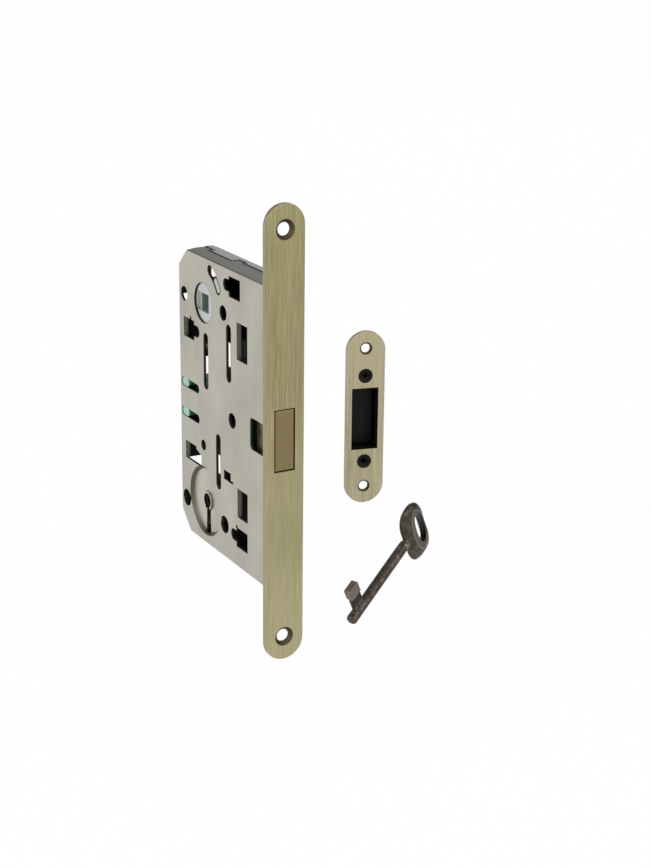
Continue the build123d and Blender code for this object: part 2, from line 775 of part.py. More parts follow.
with BuildPart() as handle_spring_seat:
    with BuildSketch(layer(far_inner)):
        with Locations((spring_seat_x + spring_seat_length / 2, spring_z)):
            Rectangle(spring_seat_length, 2 * handle_spring_radius + 1.0)
    extrude(amount=far_inner - spring_y + handle_spring_radius + 0.5)
    with BuildSketch(Plane.YZ.offset(spring_seat_x)):
        with Locations((spring_y, spring_z)):
            Circle(handle_spring_bore - 0.3)
    extrude(amount=-4.0)
finish_part(handle_spring_seat, "handle_spring_seat")

# Deadlock slide: a nose for the carrier's notches, a stump for the tumbler and a talon for the key
talon_right = hub_x + 18.5
talon_left = hub_x + 14.8
with BuildPart() as deadlock_slide:
    with BuildSketch(layer(slide_far_y)):
        with Locations((slide_x, (nose_top + key_z + 7.0) / 2)):
            Rectangle(nose_width, nose_top - key_z - 7.0)
        with Locations(((talon_left + talon_right) / 2, key_z + 4.5)):
            Rectangle(talon_right - talon_left, 9.0)
        with Locations((hub_x + 13.0, key_z + 7.75)):
            Rectangle(6.0, 2.5)
        with Locations((hub_x + 13.2, key_z + 1.0)):
            Rectangle(5.6, 2.0)
    extrude(amount=slide_far_y - slide_near_y)
    with BuildSketch(layer(slide_near_y)):
        with Locations((slide_x, stump_z)):
            Circle(stump_radius)
    extrude(amount=slide_near_y - tumbler_near_y - body_gap + 0.6)
    with BuildSketch(layer(slide_far_y)):
        with Locations(*[(slide_x, level) for level in stud_levels]):
            Circle(stud_radius - 0.6)
    extrude(amount=slide_far_y - slide_near_y, mode=Mode.SUBTRACT)
finish_part(deadlock_slide, "deadlock_slide")

# Studs that guide the slide in the far side's slot
with BuildPart() as deadlock_studs:
    with BuildSketch(layer(far - body_gap)):
        with Locations(*[(slide_x, level) for level in stud_levels]):
            Circle(stud_radius)
    extrude(amount=far - body_gap - slide_far_y)
    with BuildSketch(layer(slide_far_y)):
        with Locations(*[(slide_x, level) for level in stud_levels]):
            Circle(stud_radius - 0.6)
    extrude(amount=slide_far_y - slide_near_y)
finish_part(deadlock_studs, "deadlock_studs")


def lifted(point):
    """Where a point of the case lies on the tumbler once the tumbler is lifted."""
    dx = point[0] - tumbler_pivot[0]
    dz = point[1] - tumbler_pivot[1]
    angle = math.degrees(math.atan2(dz, dx)) + tumbler_lift
    return turned(tumbler_pivot, math.hypot(dx, dz), angle)


# Lever tumbler, whose gate lets the stump pass only as the tumbler is lifted with the slide
stump_low = (slide_x, stump_z)
stump_high = (slide_x, stump_z + slide_lift)
gate_width = 2 * (stump_radius + gate_gap)
with BuildPart() as lever_tumbler:
    with BuildSketch(layer(tumbler_far_y)):
        with Locations(tumbler_pivot):
            Circle(tumbler_boss_radius)
        with Locations((slide_x + 0.6, stump_z + 0.5)):
            Circle(5.4)
        with Locations((slide_x - 0.4, stump_z - 6.0)):
            Circle(3.4)
        with Locations((slide_x, stump_z + 6.5)):
            Circle(4.6)
        make_hull()
    extrude(amount=tumbler_far_y - tumbler_near_y)
    gate_runs = (
        (lifted(stump_low), lifted(stump_high)),
        (stump_low, lifted(stump_low)),
        (stump_high, lifted(stump_high)),
        (stump_low, lifted(stump_high)),
    )
    with BuildSketch(layer(tumbler_far_y)):
        for start, end in gate_runs:
            run = math.hypot(end[0] - start[0], end[1] - start[1])
            tilt = math.degrees(math.atan2(end[1] - start[1], end[0] - start[0]))
            middle = ((start[0] + end[0]) / 2, (start[1] + end[1]) / 2)
            with Locations(Location((*middle, 0), (0, 0, tilt))):
                SlotCenterToCenter(run, gate_width)
        with Locations(tumbler_pivot):
            Circle(tumbler_stub_radius + running_gap)
        SlotArc(leg_slot_path, 2 * (wire_radius + slide_gap))
    extrude(amount=tumbler_far_y - tumbler_near_y, mode=Mode.SUBTRACT)
finish_part(lever_tumbler, "lever_tumbler")

# Stub on the near side that the tumbler turns on
stub_shoulder_radius = 2.7
with BuildPart() as tumbler_stub:
    with BuildSketch(layer(tumbler_far_y + body_gap)):
        with Locations(tumbler_pivot):
            Circle(tumbler_stub_radius)
    extrude(amount=tumbler_far_y + body_gap - near_inner)
    with BuildSketch(layer(tumbler_near_y - body_gap / 2)):
        with Locations(tumbler_pivot):
            Circle(stub_shoulder_radius)
    extrude(amount=tumbler_near_y - body_gap / 2 - near_inner)
finish_part(tumbler_stub, "tumbler_stub")

# Coiled spring round the stub, whose leg ends in a short slot of the tumbler
coil_far_y = tumbler_near_y - body_gap
with BuildPart() as tumbler_spring:
    with BuildSketch(layer(coil_far_y)):
        with Locations(tumbler_pivot):
            Circle(stub_shoulder_radius + 0.1 + 2 * wire_radius)
            Circle(stub_shoulder_radius + 0.1, mode=Mode.SUBTRACT)
    extrude(amount=spring_turns_height)
    leg_start = stub_shoulder_radius + wire_radius
    with BuildSketch(layer(coil_far_y)):
        leg_middle = turned(tumbler_pivot, (leg_start + leg_radius) / 2, leg_angle)
        with Locations(Location((*leg_middle, 0), (0, 0, leg_angle))):
            Rectangle(leg_radius - leg_start, 2 * wire_radius)
        with Locations(turned(tumbler_pivot, leg_radius, leg_angle)):
            Circle(wire_radius)
    extrude(amount=2 * wire_radius)
    with BuildSketch(layer(tumbler_far_y - body_gap)):
        with Locations(turned(tumbler_pivot, leg_radius, leg_angle)):
            Circle(wire_radius)
    extrude(amount=tumbler_far_y - body_gap - coil_far_y)
finish_part(tumbler_spring, "tumbler_spring")

# Strike, shown beside the lock and turned a little, as it is laid out with it
strike_height = 81.0
strike_width = 18.0
strike_thickness = 1.5
strike_centre = (-48.7, 67.0, -14.5)
strike_turn = -14.4
strike_hole_spacing = 65.0
strike_hole_radius = 2.1
strike_sink_radius = 2.75
strike_low = -0.4
opening_height = 28.5
opening_width = 11.9
opening_margin = 0.5
pocket_height = opening_height - 2 * opening_margin
pocket_width = opening_width - 2 * opening_margin
pocket_depth = 8.0
box_wall = 0.9
box_floor = 1.0
box_reach = 25.4
adjuster_spacing = 40.4
adjuster_radius = 3.1
adjuster_length = 8.0
adjuster_stem_radius = 2.1
dish_mouth_radius = 2.5
dish_bottom_radius = 1.5
adjuster_dish_depth = 0.9
adjuster_sink = 0.15
socket_radius = 1.35
socket_depth = 2.4
strike_normal = (math.cos(math.radians(strike_turn)), math.sin(math.radians(strike_turn)), 0)
strike_across = (-strike_normal[1], strike_normal[0], 0)
strike_face = Plane(origin=strike_centre, x_dir=strike_across, z_dir=strike_normal)
strike_back = strike_face.offset(-strike_thickness)
adjusters = ((0, strike_low + adjuster_spacing / 2), (0, strike_low - adjuster_spacing / 2))

with BuildPart() as strike_plate:
    with BuildSketch(strike_face):
        SlotOverall(strike_height, strike_width, rotation=90)
    extrude(amount=-strike_thickness)
    with BuildSketch(strike_face):
        with Locations((0, strike_low)):
            Rectangle(opening_width, opening_height)
        with Locations(*adjusters):
            Circle(adjuster_radius + running_gap)
    extrude(amount=-strike_thickness, mode=Mode.SUBTRACT)
    with Locations(strike_face):
        with Locations((0, strike_hole_spacing / 2), (0, -strike_hole_spacing / 2)):
            CounterSinkHole(strike_hole_radius, strike_sink_radius, counter_sink_angle=90)
finish_part(strike_plate, "strike_plate")

# Plastic box behind the strike, with a solid end for each adjusting screw
with BuildPart() as strike_box:
    with BuildSketch(strike_back):
        with Locations((0, strike_low)):
            Rectangle(pocket_width + 2 * box_wall, pocket_height + 2 * box_wall)
    extrude(amount=-(pocket_depth + box_floor))
    back_edges = strike_box.faces().sort_by_distance(strike_face.origin)[-1].edges()
    chamfer(back_edges, length=box_floor)
    with BuildSketch(strike_back):
        with Locations((0, strike_low)):
            Rectangle(pocket_width + 2 * box_wall, 2 * box_reach)
    extrude(amount=-adjuster_length)
    with BuildSketch(strike_back):
        with Locations((0, strike_low)):
            Rectangle(pocket_width, pocket_height)
    extrude(amount=-pocket_depth, mode=Mode.SUBTRACT)
    with BuildSketch(strike_back):
        with Locations(*adjusters):
            Circle(adjuster_stem_radius)
    extrude(amount=-(adjuster_length - 1.0), mode=Mode.SUBTRACT)
finish_part(strike_box, "strike_box")

# Black holder at the bottom of the box, with the strike's magnet in it
holder_depth = 2.6
holder_front = 0.6
keeper_thickness = 0.6
magnet_lip = 1.2
holder_face = strike_back.offset(-(pocket_depth - holder_depth))
with BuildPart() as magnet_holder:
    with BuildSketch(holder_face):
        with Locations((0, strike_low)):
            Rectangle(pocket_width - 2 * slide_gap, pocket_height - 2 * slide_gap)
    extrude(amount=-holder_depth)
    with BuildSketch(holder_face.offset(-holder_front)):
        with Locations((0, strike_low)):
            Rectangle(pocket_width - 2 * magnet_lip, pocket_height - 6 * magnet_lip)
    extrude(amount=-(holder_depth - holder_front), mode=Mode.SUBTRACT)
finish_part(magnet_holder, "magnet_holder")

with BuildPart() as strike_magnet:
    with BuildSketch(holder_face.offset(-holder_front)):
        with Locations((0, strike_low)):
            Rectangle(
                pocket_width - 2 * magnet_lip - 2 * running_gap,
                pocket_height - 6 * magnet_lip - 2 * running_gap,
            )
    extrude(amount=-(holder_depth - holder_front - keeper_thickness))
finish_part(strike_magnet, "strike_magnet")

with BuildPart() as keeper_plate:
    with BuildSketch(holder_face.offset(-(holder_depth - keeper_thickness))):
        with Locations((0, strike_low)):
            Rectangle(
                pocket_width - 2 * magnet_lip - 2 * running_gap,
                pocket_height - 6 * magnet_lip - 2 * running_gap,
            )
    extrude(amount=-keeper_thickness)
finish_part(keeper_plate, "keeper_plate")

# Two socket screws that hold the box to the strike, each with a dished head
with BuildPart() as strike_adjusters:
    with BuildSketch(strike_face.offset(-adjuster_sink)):
        with Locations(*adjusters):
            Circle(adjuster_radius)
    extrude(amount=-(strike_thickness - adjuster_sink))
    with BuildSketch(strike_back):
        with Locations(*adjusters):
            Circle(adjuster_stem_radius - running_gap)
    extrude(amount=-(adjuster_length - 2.0))
    for place in adjusters:
        with BuildSketch(strike_face.offset(-adjuster_sink)):
            with Locations(place):
                Circle(dish_mouth_radius)
        with BuildSketch(strike_face.offset(-adjuster_sink - adjuster_dish_depth)):
            with Locations(place):
                Circle(dish_bottom_radius)
        loft(mode=Mode.SUBTRACT)
    with BuildSketch(strike_face):
        with Locations(*adjusters):
            RegularPolygon(socket_radius, 6)
    extrude(amount=-(adjuster_sink + adjuster_dish_depth + socket_depth), mode=Mode.SUBTRACT)
finish_part(strike_adjusters, "strike_adjusters")

# Key, laid out in front of the strike: local x runs from its tip to its bow, local y towards its bit
key_tip = (36.8, 10.8, -68.2)
key_along = (-0.3508, 0.7961, 0.4931)
key_across = (0.9085, 0.4171, -0.027)
shaft_radius = 2.3
shaft_tip_round = 1.3
bow_centre = 51.7
bow_half_length = 9.0
bow_half_height = 14.1
bow_lean = -4.6
bow_rim_level = 1.75
bow_sections = (-1.0, -0.55, 0.0, 0.55, 1.0)
bow_rim_half_length = 4.6
bow_rim_half_height = 11.4
bow_rim_offset = 1.6
bow_rim_width = 0.35
bow_rim_depth = 0.25
bow_hole_offset = 2.75
bow_hole_half_length = 2.6
bow_hole_half_height = 8.4
neck_end_radius = 1.2
neck_length = 4.5
bit_start = 3.5
bit_length = 6.2
bit_offset = 0.6
bit_reach = key_slot_reach - 0.4
bit_thickness = 3.2
bit_block_height = 5.2
bit_web_thickness = 1.7
key_plane = Plane(origin=key_tip, x_dir=key_along, z_dir=key_across)
shaft_plane = Plane(origin=key_tip, x_dir=key_plane.y_dir, z_dir=key_plane.x_dir)
neck_start = bow_centre - bow_half_length - 0.5

with BuildPart() as key:
    # Bow: its outline is widest at mid-thickness and rounds over to a smaller rim on each face
    for share in bow_sections:
        spread = math.sqrt(1 - share**2)
        with BuildSketch(key_plane.offset(share * bow_rim_level)):
            with Locations((bow_centre + bow_rim_offset * (1 - spread), 0)):
                Ellipse(
                    bow_rim_half_length + (bow_half_length - bow_rim_half_length) * spread,
                    bow_rim_half_height + (bow_half_height - bow_rim_half_height) * spread,
                    rotation=bow_lean * spread,
                )
    loft()
    with BuildSketch(key_plane.offset(bow_rim_level)):
        with Locations((bow_centre + bow_hole_offset, 0)):
            Ellipse(bow_hole_half_length, bow_hole_half_height)
    extrude(amount=-2 * bow_rim_level, mode=Mode.SUBTRACT)
    for side in (-1, 1):
        with BuildSketch(key_plane.offset(side * bow_rim_level)):
            with Locations((bow_centre + bow_rim_offset, 0)):
                Ellipse(bow_rim_half_length - bow_rim_width, bow_rim_half_height - bow_rim_width)
        extrude(amount=-side * bow_rim_depth, mode=Mode.SUBTRACT)
    # Shaft with a rounded tip and a neck that runs out into the bow
    with BuildSketch(shaft_plane):
        Circle(shaft_radius)
    extrude(amount=neck_start)
    tip_edges = key.edges().filter_by(GeomType.CIRCLE).sort_by_distance(key_tip)
    fillet(tip_edges[0], radius=shaft_tip_round)
    with BuildSketch(shaft_plane.offset(neck_start)):
        Circle(shaft_radius)
    with BuildSketch(shaft_plane.offset(neck_start + neck_length)):
        Circle(neck_end_radius)
    loft()
    # Bit: a block on a thinner web
    with BuildSketch(key_plane.offset(bit_offset + bit_web_thickness / 2)):
        with Locations((bit_start + bit_length / 2, bit_reach / 2)):
            Rectangle(bit_length, bit_reach)
    extrude(amount=-bit_web_thickness)
    with BuildSketch(key_plane.offset(bit_offset + bit_thickness / 2)):
        with Locations((bit_start + bit_length / 2, bit_reach - bit_block_height / 2)):
            Rectangle(bit_length, bit_block_height)
    extrude(amount=-bit_thickness)
finish_part(key, "key")
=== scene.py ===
import math

import bpy
from mathutils import Matrix, Vector


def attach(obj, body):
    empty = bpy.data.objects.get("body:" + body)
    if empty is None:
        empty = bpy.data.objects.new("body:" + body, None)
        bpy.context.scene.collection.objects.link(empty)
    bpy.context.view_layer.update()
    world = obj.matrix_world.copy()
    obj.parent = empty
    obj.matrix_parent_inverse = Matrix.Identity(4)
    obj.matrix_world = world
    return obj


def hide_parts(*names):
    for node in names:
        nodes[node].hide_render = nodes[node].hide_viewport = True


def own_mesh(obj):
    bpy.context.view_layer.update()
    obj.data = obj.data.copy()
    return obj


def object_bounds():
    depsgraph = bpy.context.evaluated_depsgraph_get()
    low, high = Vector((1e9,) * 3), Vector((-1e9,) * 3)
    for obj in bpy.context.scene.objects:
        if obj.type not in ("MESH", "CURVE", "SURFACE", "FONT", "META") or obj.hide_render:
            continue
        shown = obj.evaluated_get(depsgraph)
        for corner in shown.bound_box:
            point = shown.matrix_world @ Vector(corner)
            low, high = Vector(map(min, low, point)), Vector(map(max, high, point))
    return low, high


# Mortise sashlock with its strike and key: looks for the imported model, in metres, in the model's own frame.
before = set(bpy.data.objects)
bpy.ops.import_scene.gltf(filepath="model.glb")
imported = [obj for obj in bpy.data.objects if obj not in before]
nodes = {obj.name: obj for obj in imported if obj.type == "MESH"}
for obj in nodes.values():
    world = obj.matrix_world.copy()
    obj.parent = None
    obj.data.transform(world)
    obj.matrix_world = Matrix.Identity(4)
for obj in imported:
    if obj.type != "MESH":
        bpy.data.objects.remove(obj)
cadLow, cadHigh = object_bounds()
scene = bpy.context.scene
scene.view_settings.view_transform = "Standard"
mm = 0.001
print("loaded", len(nodes), "nodes")


def colour(red, green, blue):
    # the number that a screen shows, 0 to 255, as the linear value that a shader takes
    def linear(value):
        value /= 255
        return value / 12.92 if value <= 0.04045 else ((value + 0.055) / 1.055) ** 2.4

    return (linear(red), linear(green), linear(blue), 1.0)


class Wire:
    # one output socket; the operators on it add Math nodes to its own tree
    def __init__(self, finish, socket):
        self.finish = finish
        self.socket = socket

    def math(self, operation, *values):
        inputs = dict(enumerate(values))
        return self.finish.add("ShaderNodeMath", {"operation": operation}, inputs)

    def __add__(self, other):
        return self.math("ADD", self, other)

    def __radd__(self, other):
        return self.math("ADD", other, self)

    def __sub__(self, other):
        return self.math("SUBTRACT", self, other)

    def __rsub__(self, other):
        return self.math("SUBTRACT", other, self)

    def __mul__(self, other):
        return self.math("MULTIPLY", self, other)

    def __rmul__(self, other):
        return self.math("MULTIPLY", other, self)

    def __truediv__(self, other):
        return self.math("DIVIDE", self, other)

    def __pow__(self, other):
        return self.math("POWER", self, other)

    def __abs__(self):
        return self.math("ABSOLUTE", self)

    def lower(self, other):
        return self.math("MINIMUM", self, other)

    def higher(self, other):
        return self.math("MAXIMUM", self, other)

    def step(self, start, end):
        # 0 up to start, 1 from end on, and a soft slope between; start may be the larger
        settings = {"interpolation_type": "SMOOTHSTEP"}
        inputs = {"Value": self, "From Min": start, "From Max": end}
        if start > end:
            inputs = {"Value": self, "From Min": end, "From Max": start}
            inputs.update({"To Min": 1.0, "To Max": 0.0})
        return self.finish.add("ShaderNodeMapRange", settings, inputs)


class Finish:
    # one material, or the world; add() makes every node
    def __init__(self, name, tree=None):
        if tree is None:
            self.material = bpy.data.materials.new(name)
            self.material.use_nodes = True
            tree = self.material.node_tree
        self.tree = tree
        self.tree.nodes.clear()

    def add(self, kind, settings=None, inputs=None, out=0):
        node = self.tree.nodes.new(kind)
        for key, value in (settings or {}).items():
            if key == "stops":
                ramp = node.color_ramp
                while len(ramp.elements) < len(value):
                    ramp.elements.new(0.5)
                for element, (place, tone) in zip(ramp.elements, value):
                    element.position = place
                    element.color = tone
            else:
                setattr(node, key, value)
        for key, value in (inputs or {}).items():
            if isinstance(value, Wire):
                self.tree.links.new(value.socket, node.inputs[key])
            else:
                node.inputs[key].default_value = value
        return Wire(self, node.outputs[out])

    def mix(self, factor, first, second):
        # colours: first where factor is 0, second where it is 1
        return self.add("ShaderNodeMix", {"data_type": "RGBA"}, {0: factor, 6: first, 7: second}, out=2)

    def dot(self, first, second):
        inputs = {0: first, 1: second}
        return self.add("ShaderNodeVectorMath", {"operation": "DOT_PRODUCT"}, inputs, out="Value")

    def ramp(self, factor, tones, places=(0.0, 0.5, 1.0)):
        # three tones of one dictionary, from its dark one to its light one
        stops = tuple(zip(places, (colour(*tones[key]) for key in ("dark", "main", "light"))))
        return self.add("ShaderNodeValToRGB", {"stops": stops}, {0: factor}, out="Color")

    def place(self, scale=(1.0, 1.0, 1.0), offset=(0.0, 0.0, 0.0)):
        # a point on the object in millimetres, stretched by scale
        point = self.add("ShaderNodeTexCoord", out="Object")
        size = tuple(1000 * value for value in scale)
        return self.add(
            "ShaderNodeVectorMath", {"operation": "MULTIPLY_ADD"}, {0: point, 1: size, 2: offset}
        )

    def along(self, axis, origin=(0.0, 0.0, 0.0)):
        # distance in millimetres along an axis from an origin that is given in millimetres too
        point = self.place(offset=tuple(-value for value in origin))
        return self.dot(point, axis)

    def facing(self, axis):
        # 1 where the surface faces along the axis
        normal = self.add("ShaderNodeNewGeometry", out="True Normal")
        return self.dot(normal, axis)

    def noise(self, scale, detail=2.0, rough=0.5, offset=(0.0, 0.0, 0.0)):
        inputs = {"Vector": self.place(scale, offset), "Scale": 1.0, "Detail": detail, "Roughness": rough}
        return self.add("ShaderNodeTexNoise", None, inputs)

    def edges(self, radius, sharp=0.85):
        # 1 along sharp edges, from the angle between the rounded and the true normal
        rounded = self.add("ShaderNodeBevel", {"samples": 4}, {"Radius": radius * mm})
        normal = self.add("ShaderNodeNewGeometry", out="Normal")
        return self.dot(rounded, normal).step(0.995, sharp)

    def finish(
        self, base, roughness, metallic=1.0, height=None, depth=0.01, strength=0.3, specular=0.5, gapShade=None
    ):
        # height makes the bump, depth in millimetres; the gap mask is 1 in a gap that is too fine to look into,
        # where a near-black shader is mixed in as painted shade
        inputs = {"Base Color": base, "Roughness": roughness, "Metallic": metallic}
        inputs["Specular IOR Level"] = specular
        if height is not None:
            bump = {"Height": height, "Distance": depth * mm, "Strength": strength}
            inputs["Normal"] = self.add("ShaderNodeBump", None, bump)
        shader = self.add("ShaderNodeBsdfPrincipled", None, inputs)
        if gapShade is not None:
            inputs = {"Base Color": colour(12, 11, 10), "Roughness": 1.0, "Specular IOR Level": 0.0}
            shade = self.add("ShaderNodeBsdfPrincipled", None, inputs)
            shader = self.add("ShaderNodeMixShader", None, {0: gapShade, 1: shader, 2: shade})
        self.end("ShaderNodeOutputMaterial", shader)
        return self.material

    def end(self, kind, shader):
        output = self.tree.nodes.new(kind)
        self.tree.links.new(shader.socket, output.inputs["Surface"])


# Camera, at the photograph's viewing angle. Its axes point right, up and back towards the camera.
camera = {
    "place": (607.759, -325.785, 235.086),
    "right": (0.490271, 0.871510, 0.010224),
    "up": (-0.282776, 0.147959, 0.947706),
    "back": (0.824422, -0.467524, 0.318982),
    "lens": 98.88,
    "sensor": 36.0,
}
lensData = bpy.data.cameras.new("viewCamera")
lensData.sensor_fit = "HORIZONTAL"
lensData.sensor_width = camera["sensor"]
lensData.lens = camera["lens"]
lensData.clip_start = 0.01
lensData.clip_end = 20.0
viewCamera = bpy.data.objects.new("viewCamera", lensData)
scene.collection.objects.link(viewCamera)
turn = Matrix((camera["right"], camera["up"], camera["back"])).transposed()
viewCamera.matrix_world = Matrix.LocRotScale(Vector(camera["place"]) * mm, turn.to_quaternion(), None)
scene.camera = viewCamera

# Studio: a white surround, a pale floor and three soft lamps
studio = {
    "surround": 0.72,
    "mirrorBright": 1.0,
    "mirrorDark": 0.3,
    "darkSide": (-0.62, 0.70, 0.36),
    "darkSpan": (0.35, 0.95),
    "floorSize": 6.0,
    "floorTone": (244, 243, 241),
    "floorWhite": 0.96,
}
lamps = (
    {"name": "lampLeft", "place": (0.25, -1.25, 0.75), "size": 1.5, "watts": 8.0},
    {"name": "lampRight", "place": (1.35, 0.75, 0.80), "size": 1.5, "watts": 7.0},
    {"name": "lampBack", "place": (-1.20, 0.90, 1.00), "size": 1.5, "watts": 5.0},
)
aim = (cadLow + cadHigh) / 2


def seenRays(finish):
    # two masks: rays that see the surround directly or through glass, and rays that see it in metal
    path = finish.add("ShaderNodeLightPath", out="Is Camera Ray")
    glossy = finish.add("ShaderNodeLightPath", out="Is Glossy Ray")
    glass = finish.add("ShaderNodeLightPath", out="Is Transmission Ray")
    return path.higher(glass), glossy


def makeWorld():
    world = bpy.data.worlds.new("studio")
    world.use_nodes = True
    scene.world = world
    air = Finish("studio", world.node_tree)
    direct, glossy = seenRays(air)
    way = air.add("ShaderNodeTexCoord", out="Generated")
    dark = air.dot(way, Vector(studio["darkSide"]).normalized()).step(*studio["darkSpan"])
    mirror = studio["mirrorBright"] - dark * (studio["mirrorBright"] - studio["mirrorDark"])
    level = direct + (1 - direct) * (glossy * mirror + (1 - glossy) * studio["surround"])
    light = air.add("ShaderNodeBackground", None, {"Color": (1.0, 1.0, 1.0, 1.0), "Strength": level})
    air.end("ShaderNodeOutputWorld", light)


def makeFloor():
    half = studio["floorSize"] / 2
    mesh = bpy.data.meshes.new("floor")
    corners = [(x * half, y * half, cadLow.z) for x, y in ((-1, -1), (1, -1), (1, 1), (-1, 1))]
    mesh.from_pydata(corners, [], [(0, 1, 2, 3)])
    floor = bpy.data.objects.new("floor", mesh)
    scene.collection.objects.link(floor)
    paint = Finish("paleFloor")
    direct, glossy = seenRays(paint)
    matt = paint.add("ShaderNodeBsdfDiffuse", None, {"Color": colour(*studio["floorTone"])})
    white = paint.add("ShaderNodeEmission", None, {"Color": (1.0, 1.0, 1.0, 1.0), "Strength": 1.0})
    share = direct.higher(glossy) * studio["floorWhite"]
    mixed = paint.add("ShaderNodeMixShader", None, {0: share, 1: matt, 2: white})
    paint.end("ShaderNodeOutputMaterial", mixed)
    mesh.materials.append(paint.material)


def makeLamps():
    for lamp in lamps:
        data = bpy.data.lights.new(lamp["name"], "AREA")
        data.shape = "DISK"
        data.size = lamp["size"]
        data.energy = lamp["watts"]
        thing = bpy.data.objects.new(lamp["name"], data)
        scene.collection.objects.link(thing)
        place = Vector(lamp["place"])
        thing.location = place
        thing.rotation_mode = "QUATERNION"
        thing.rotation_quaternion = (aim - place).to_track_quat("-Z", "Y")


makeWorld()
makeFloor()
makeLamps()
print("camera and studio ready")


def dress(material, *names):
    # gives CAD nodes their finish
    for name in names:
        mesh = nodes[name].data
        mesh.materials.clear()
        mesh.materials.append(material)


# Antique brass plates: brushed from top to bottom, with painted shade in their countersinks and round their
# openings, and painted light towards one end.
# Millimetres from the plate's centre. window: place up, half width, half height. screws: middle, place above and
# below it, radius, or none. sinks: place above and below the centre, radius.
brassPlates = {
    "forend": {
        "main": (152, 145, 107),
        "light": (168, 162, 122),
        "dark": (136, 127, 94),
        "rose": (152, 132, 112),
        "centre": (0.0, 0.0, 0.0),
        "front": (1.0, 0.0, 0.0),
        "across": (0.0, 1.0, 0.0),
        "window": (0.0, 4.6, 13.25),
        "screws": (0.0, 0.0, 0.0),
        "sinks": (87.5, 4.25),
        # painted light: the tone the plate pales to, and the span along its height where it does
        "paintedLightTone": (193, 185, 148),
        "paintedLightSpan": (40.0, -80.0),
    },
    "strike_plate": {
        "main": (178, 168, 138),
        "light": (192, 184, 154),
        "dark": (158, 147, 118),
        "rose": (172, 152, 130),
        "centre": (-48.7, 67.0, -14.5),
        "front": (0.96858, -0.24869, 0.0),
        "across": (0.24869, 0.96858, 0.0),
        "window": (-0.4, 5.95, 14.25),
        "screws": (-0.4, 20.2, 3.15),
        "sinks": (32.5, 2.85),
        # painted light, as on the forend
        "paintedLightTone": (184, 175, 145),
        "paintedLightSpan": (-10.0, 45.0),
    },
}
brushing = {
    "fine": (3.4, 3.4, 0.07),
    "line": (1.6, 1.6, 0.022),
    "broad": (0.45, 0.45, 0.006),
    "roseBands": (0.9, 0.9, 0.014),
    "side": (160, 154, 134),
    "sideTopShade": (122, 117, 104),
    "sinkShade": (84, 76, 56),
    "gapShade": (30, 27, 20),
    "wearAndHighlight": (190, 184, 146),
    "rounding": 0.3,
    "roughness": 0.5,
    "grainDepth": 0.018,
}


def brushedPlate(name):
    facts = brassPlates[name]
    plate = Finish(name + "Brass")
    fine = plate.noise(brushing["fine"], detail=2.0, rough=0.6)
    line = plate.noise(brushing["line"], detail=3.0, rough=0.7, offset=(1.3, 4.2, 9.1))
    broad = plate.noise(brushing["broad"], detail=1.0, offset=(7.3, 2.1, 0.4))
    grain = (fine * 0.5 + line * 0.4 + broad * 0.1).step(0.34, 0.66)
    base = plate.ramp(grain, facts)
    rose = plate.noise(brushing["roseBands"], detail=2.0, offset=(3.1, 9.7, 5.0)).step(0.6, 0.74)
    base = plate.mix(rose * 0.4, base, colour(*facts["rose"]))
    across = plate.along(facts["across"], facts["centre"])
    up = plate.along((0.0, 0.0, 1.0), facts["centre"])
    # painted light: the forend turns paler towards its bottom and the strike plate towards its top
    paintedLightTone = plate.mix(grain, colour(*facts["main"]), colour(*facts["paintedLightTone"]))
    paintedLightShare = up.step(*facts["paintedLightSpan"])
    base = plate.mix(paintedLightShare * 0.55, base, colour(*facts["paintedLightTone"]))
    base = plate.mix(paintedLightShare * 0.4, base, paintedLightTone)
    front = plate.facing(facts["front"])
    # painted shade: the plate's edge faces get their own tone, darker where they face up
    shadeFacingUp = plate.facing((0.0, 0.0, 1.0)).step(0.1, 0.7)
    side = plate.mix(shadeFacingUp, colour(*brushing["side"]), colour(*brushing["sideTopShade"]))
    base = plate.mix(front.step(0.7, 0.35), base, side)
    wearAndHighlight = plate.edges(brushing["rounding"]) * front.step(0.2, 0.6)
    base = plate.mix(wearAndHighlight * 0.5, base, colour(*brushing["wearAndHighlight"]))
    # painted shade in the countersinks' hollows
    sinkPlace, sinkRadius = facts["sinks"]
    sinkHeight = abs(up) - sinkPlace
    sinkReach = (across * across + sinkHeight * sinkHeight) ** 0.5
    base = plate.mix(sinkReach.step(sinkRadius + 0.15, sinkRadius - 0.1), base, colour(*brushing["sinkShade"]))
    windowUp, halfWide, halfHigh = facts["window"]
    # painted shade on the plate along its window and screw holes, where the gaps lie in shade
    gapShade = (abs(across) - halfWide).higher(abs(up - windowUp) - halfHigh)
    screwUp, screwPlace, screwRadius = facts["screws"]
    if screwRadius:
        screwHeight = abs(up - screwUp) - screwPlace
        gapShade = gapShade.lower((across * across + screwHeight * screwHeight) ** 0.5 - screwRadius)
    base = plate.mix(gapShade.step(0.3, 0.08), base, colour(*brushing["gapShade"]))
    roughness = brushing["roughness"] + (line - 0.5) * 0.2
    return plate.finish(base, roughness, height=fine * 0.5 + line * 0.5, depth=brushing["grainDepth"])


dress(brushedPlate("forend"), "forend")
dress(brushedPlate("strike_plate"), "strike_plate")

# Face and sides of the bolt: the same brass, browner, with painted shade along its edges in the forend's window
boltHead = {
    "main": (133, 118, 84),
    "dark": (124, 109, 77),
    "light": (142, 127, 93),
    "gapShade": (34, 29, 20),
    "half": (4.45, 13.1),
    "gapShadeDepth": (-2.2, -1.9),
    "grain": (2.4, 2.4, 0.04),
    "roughness": 0.45,
}


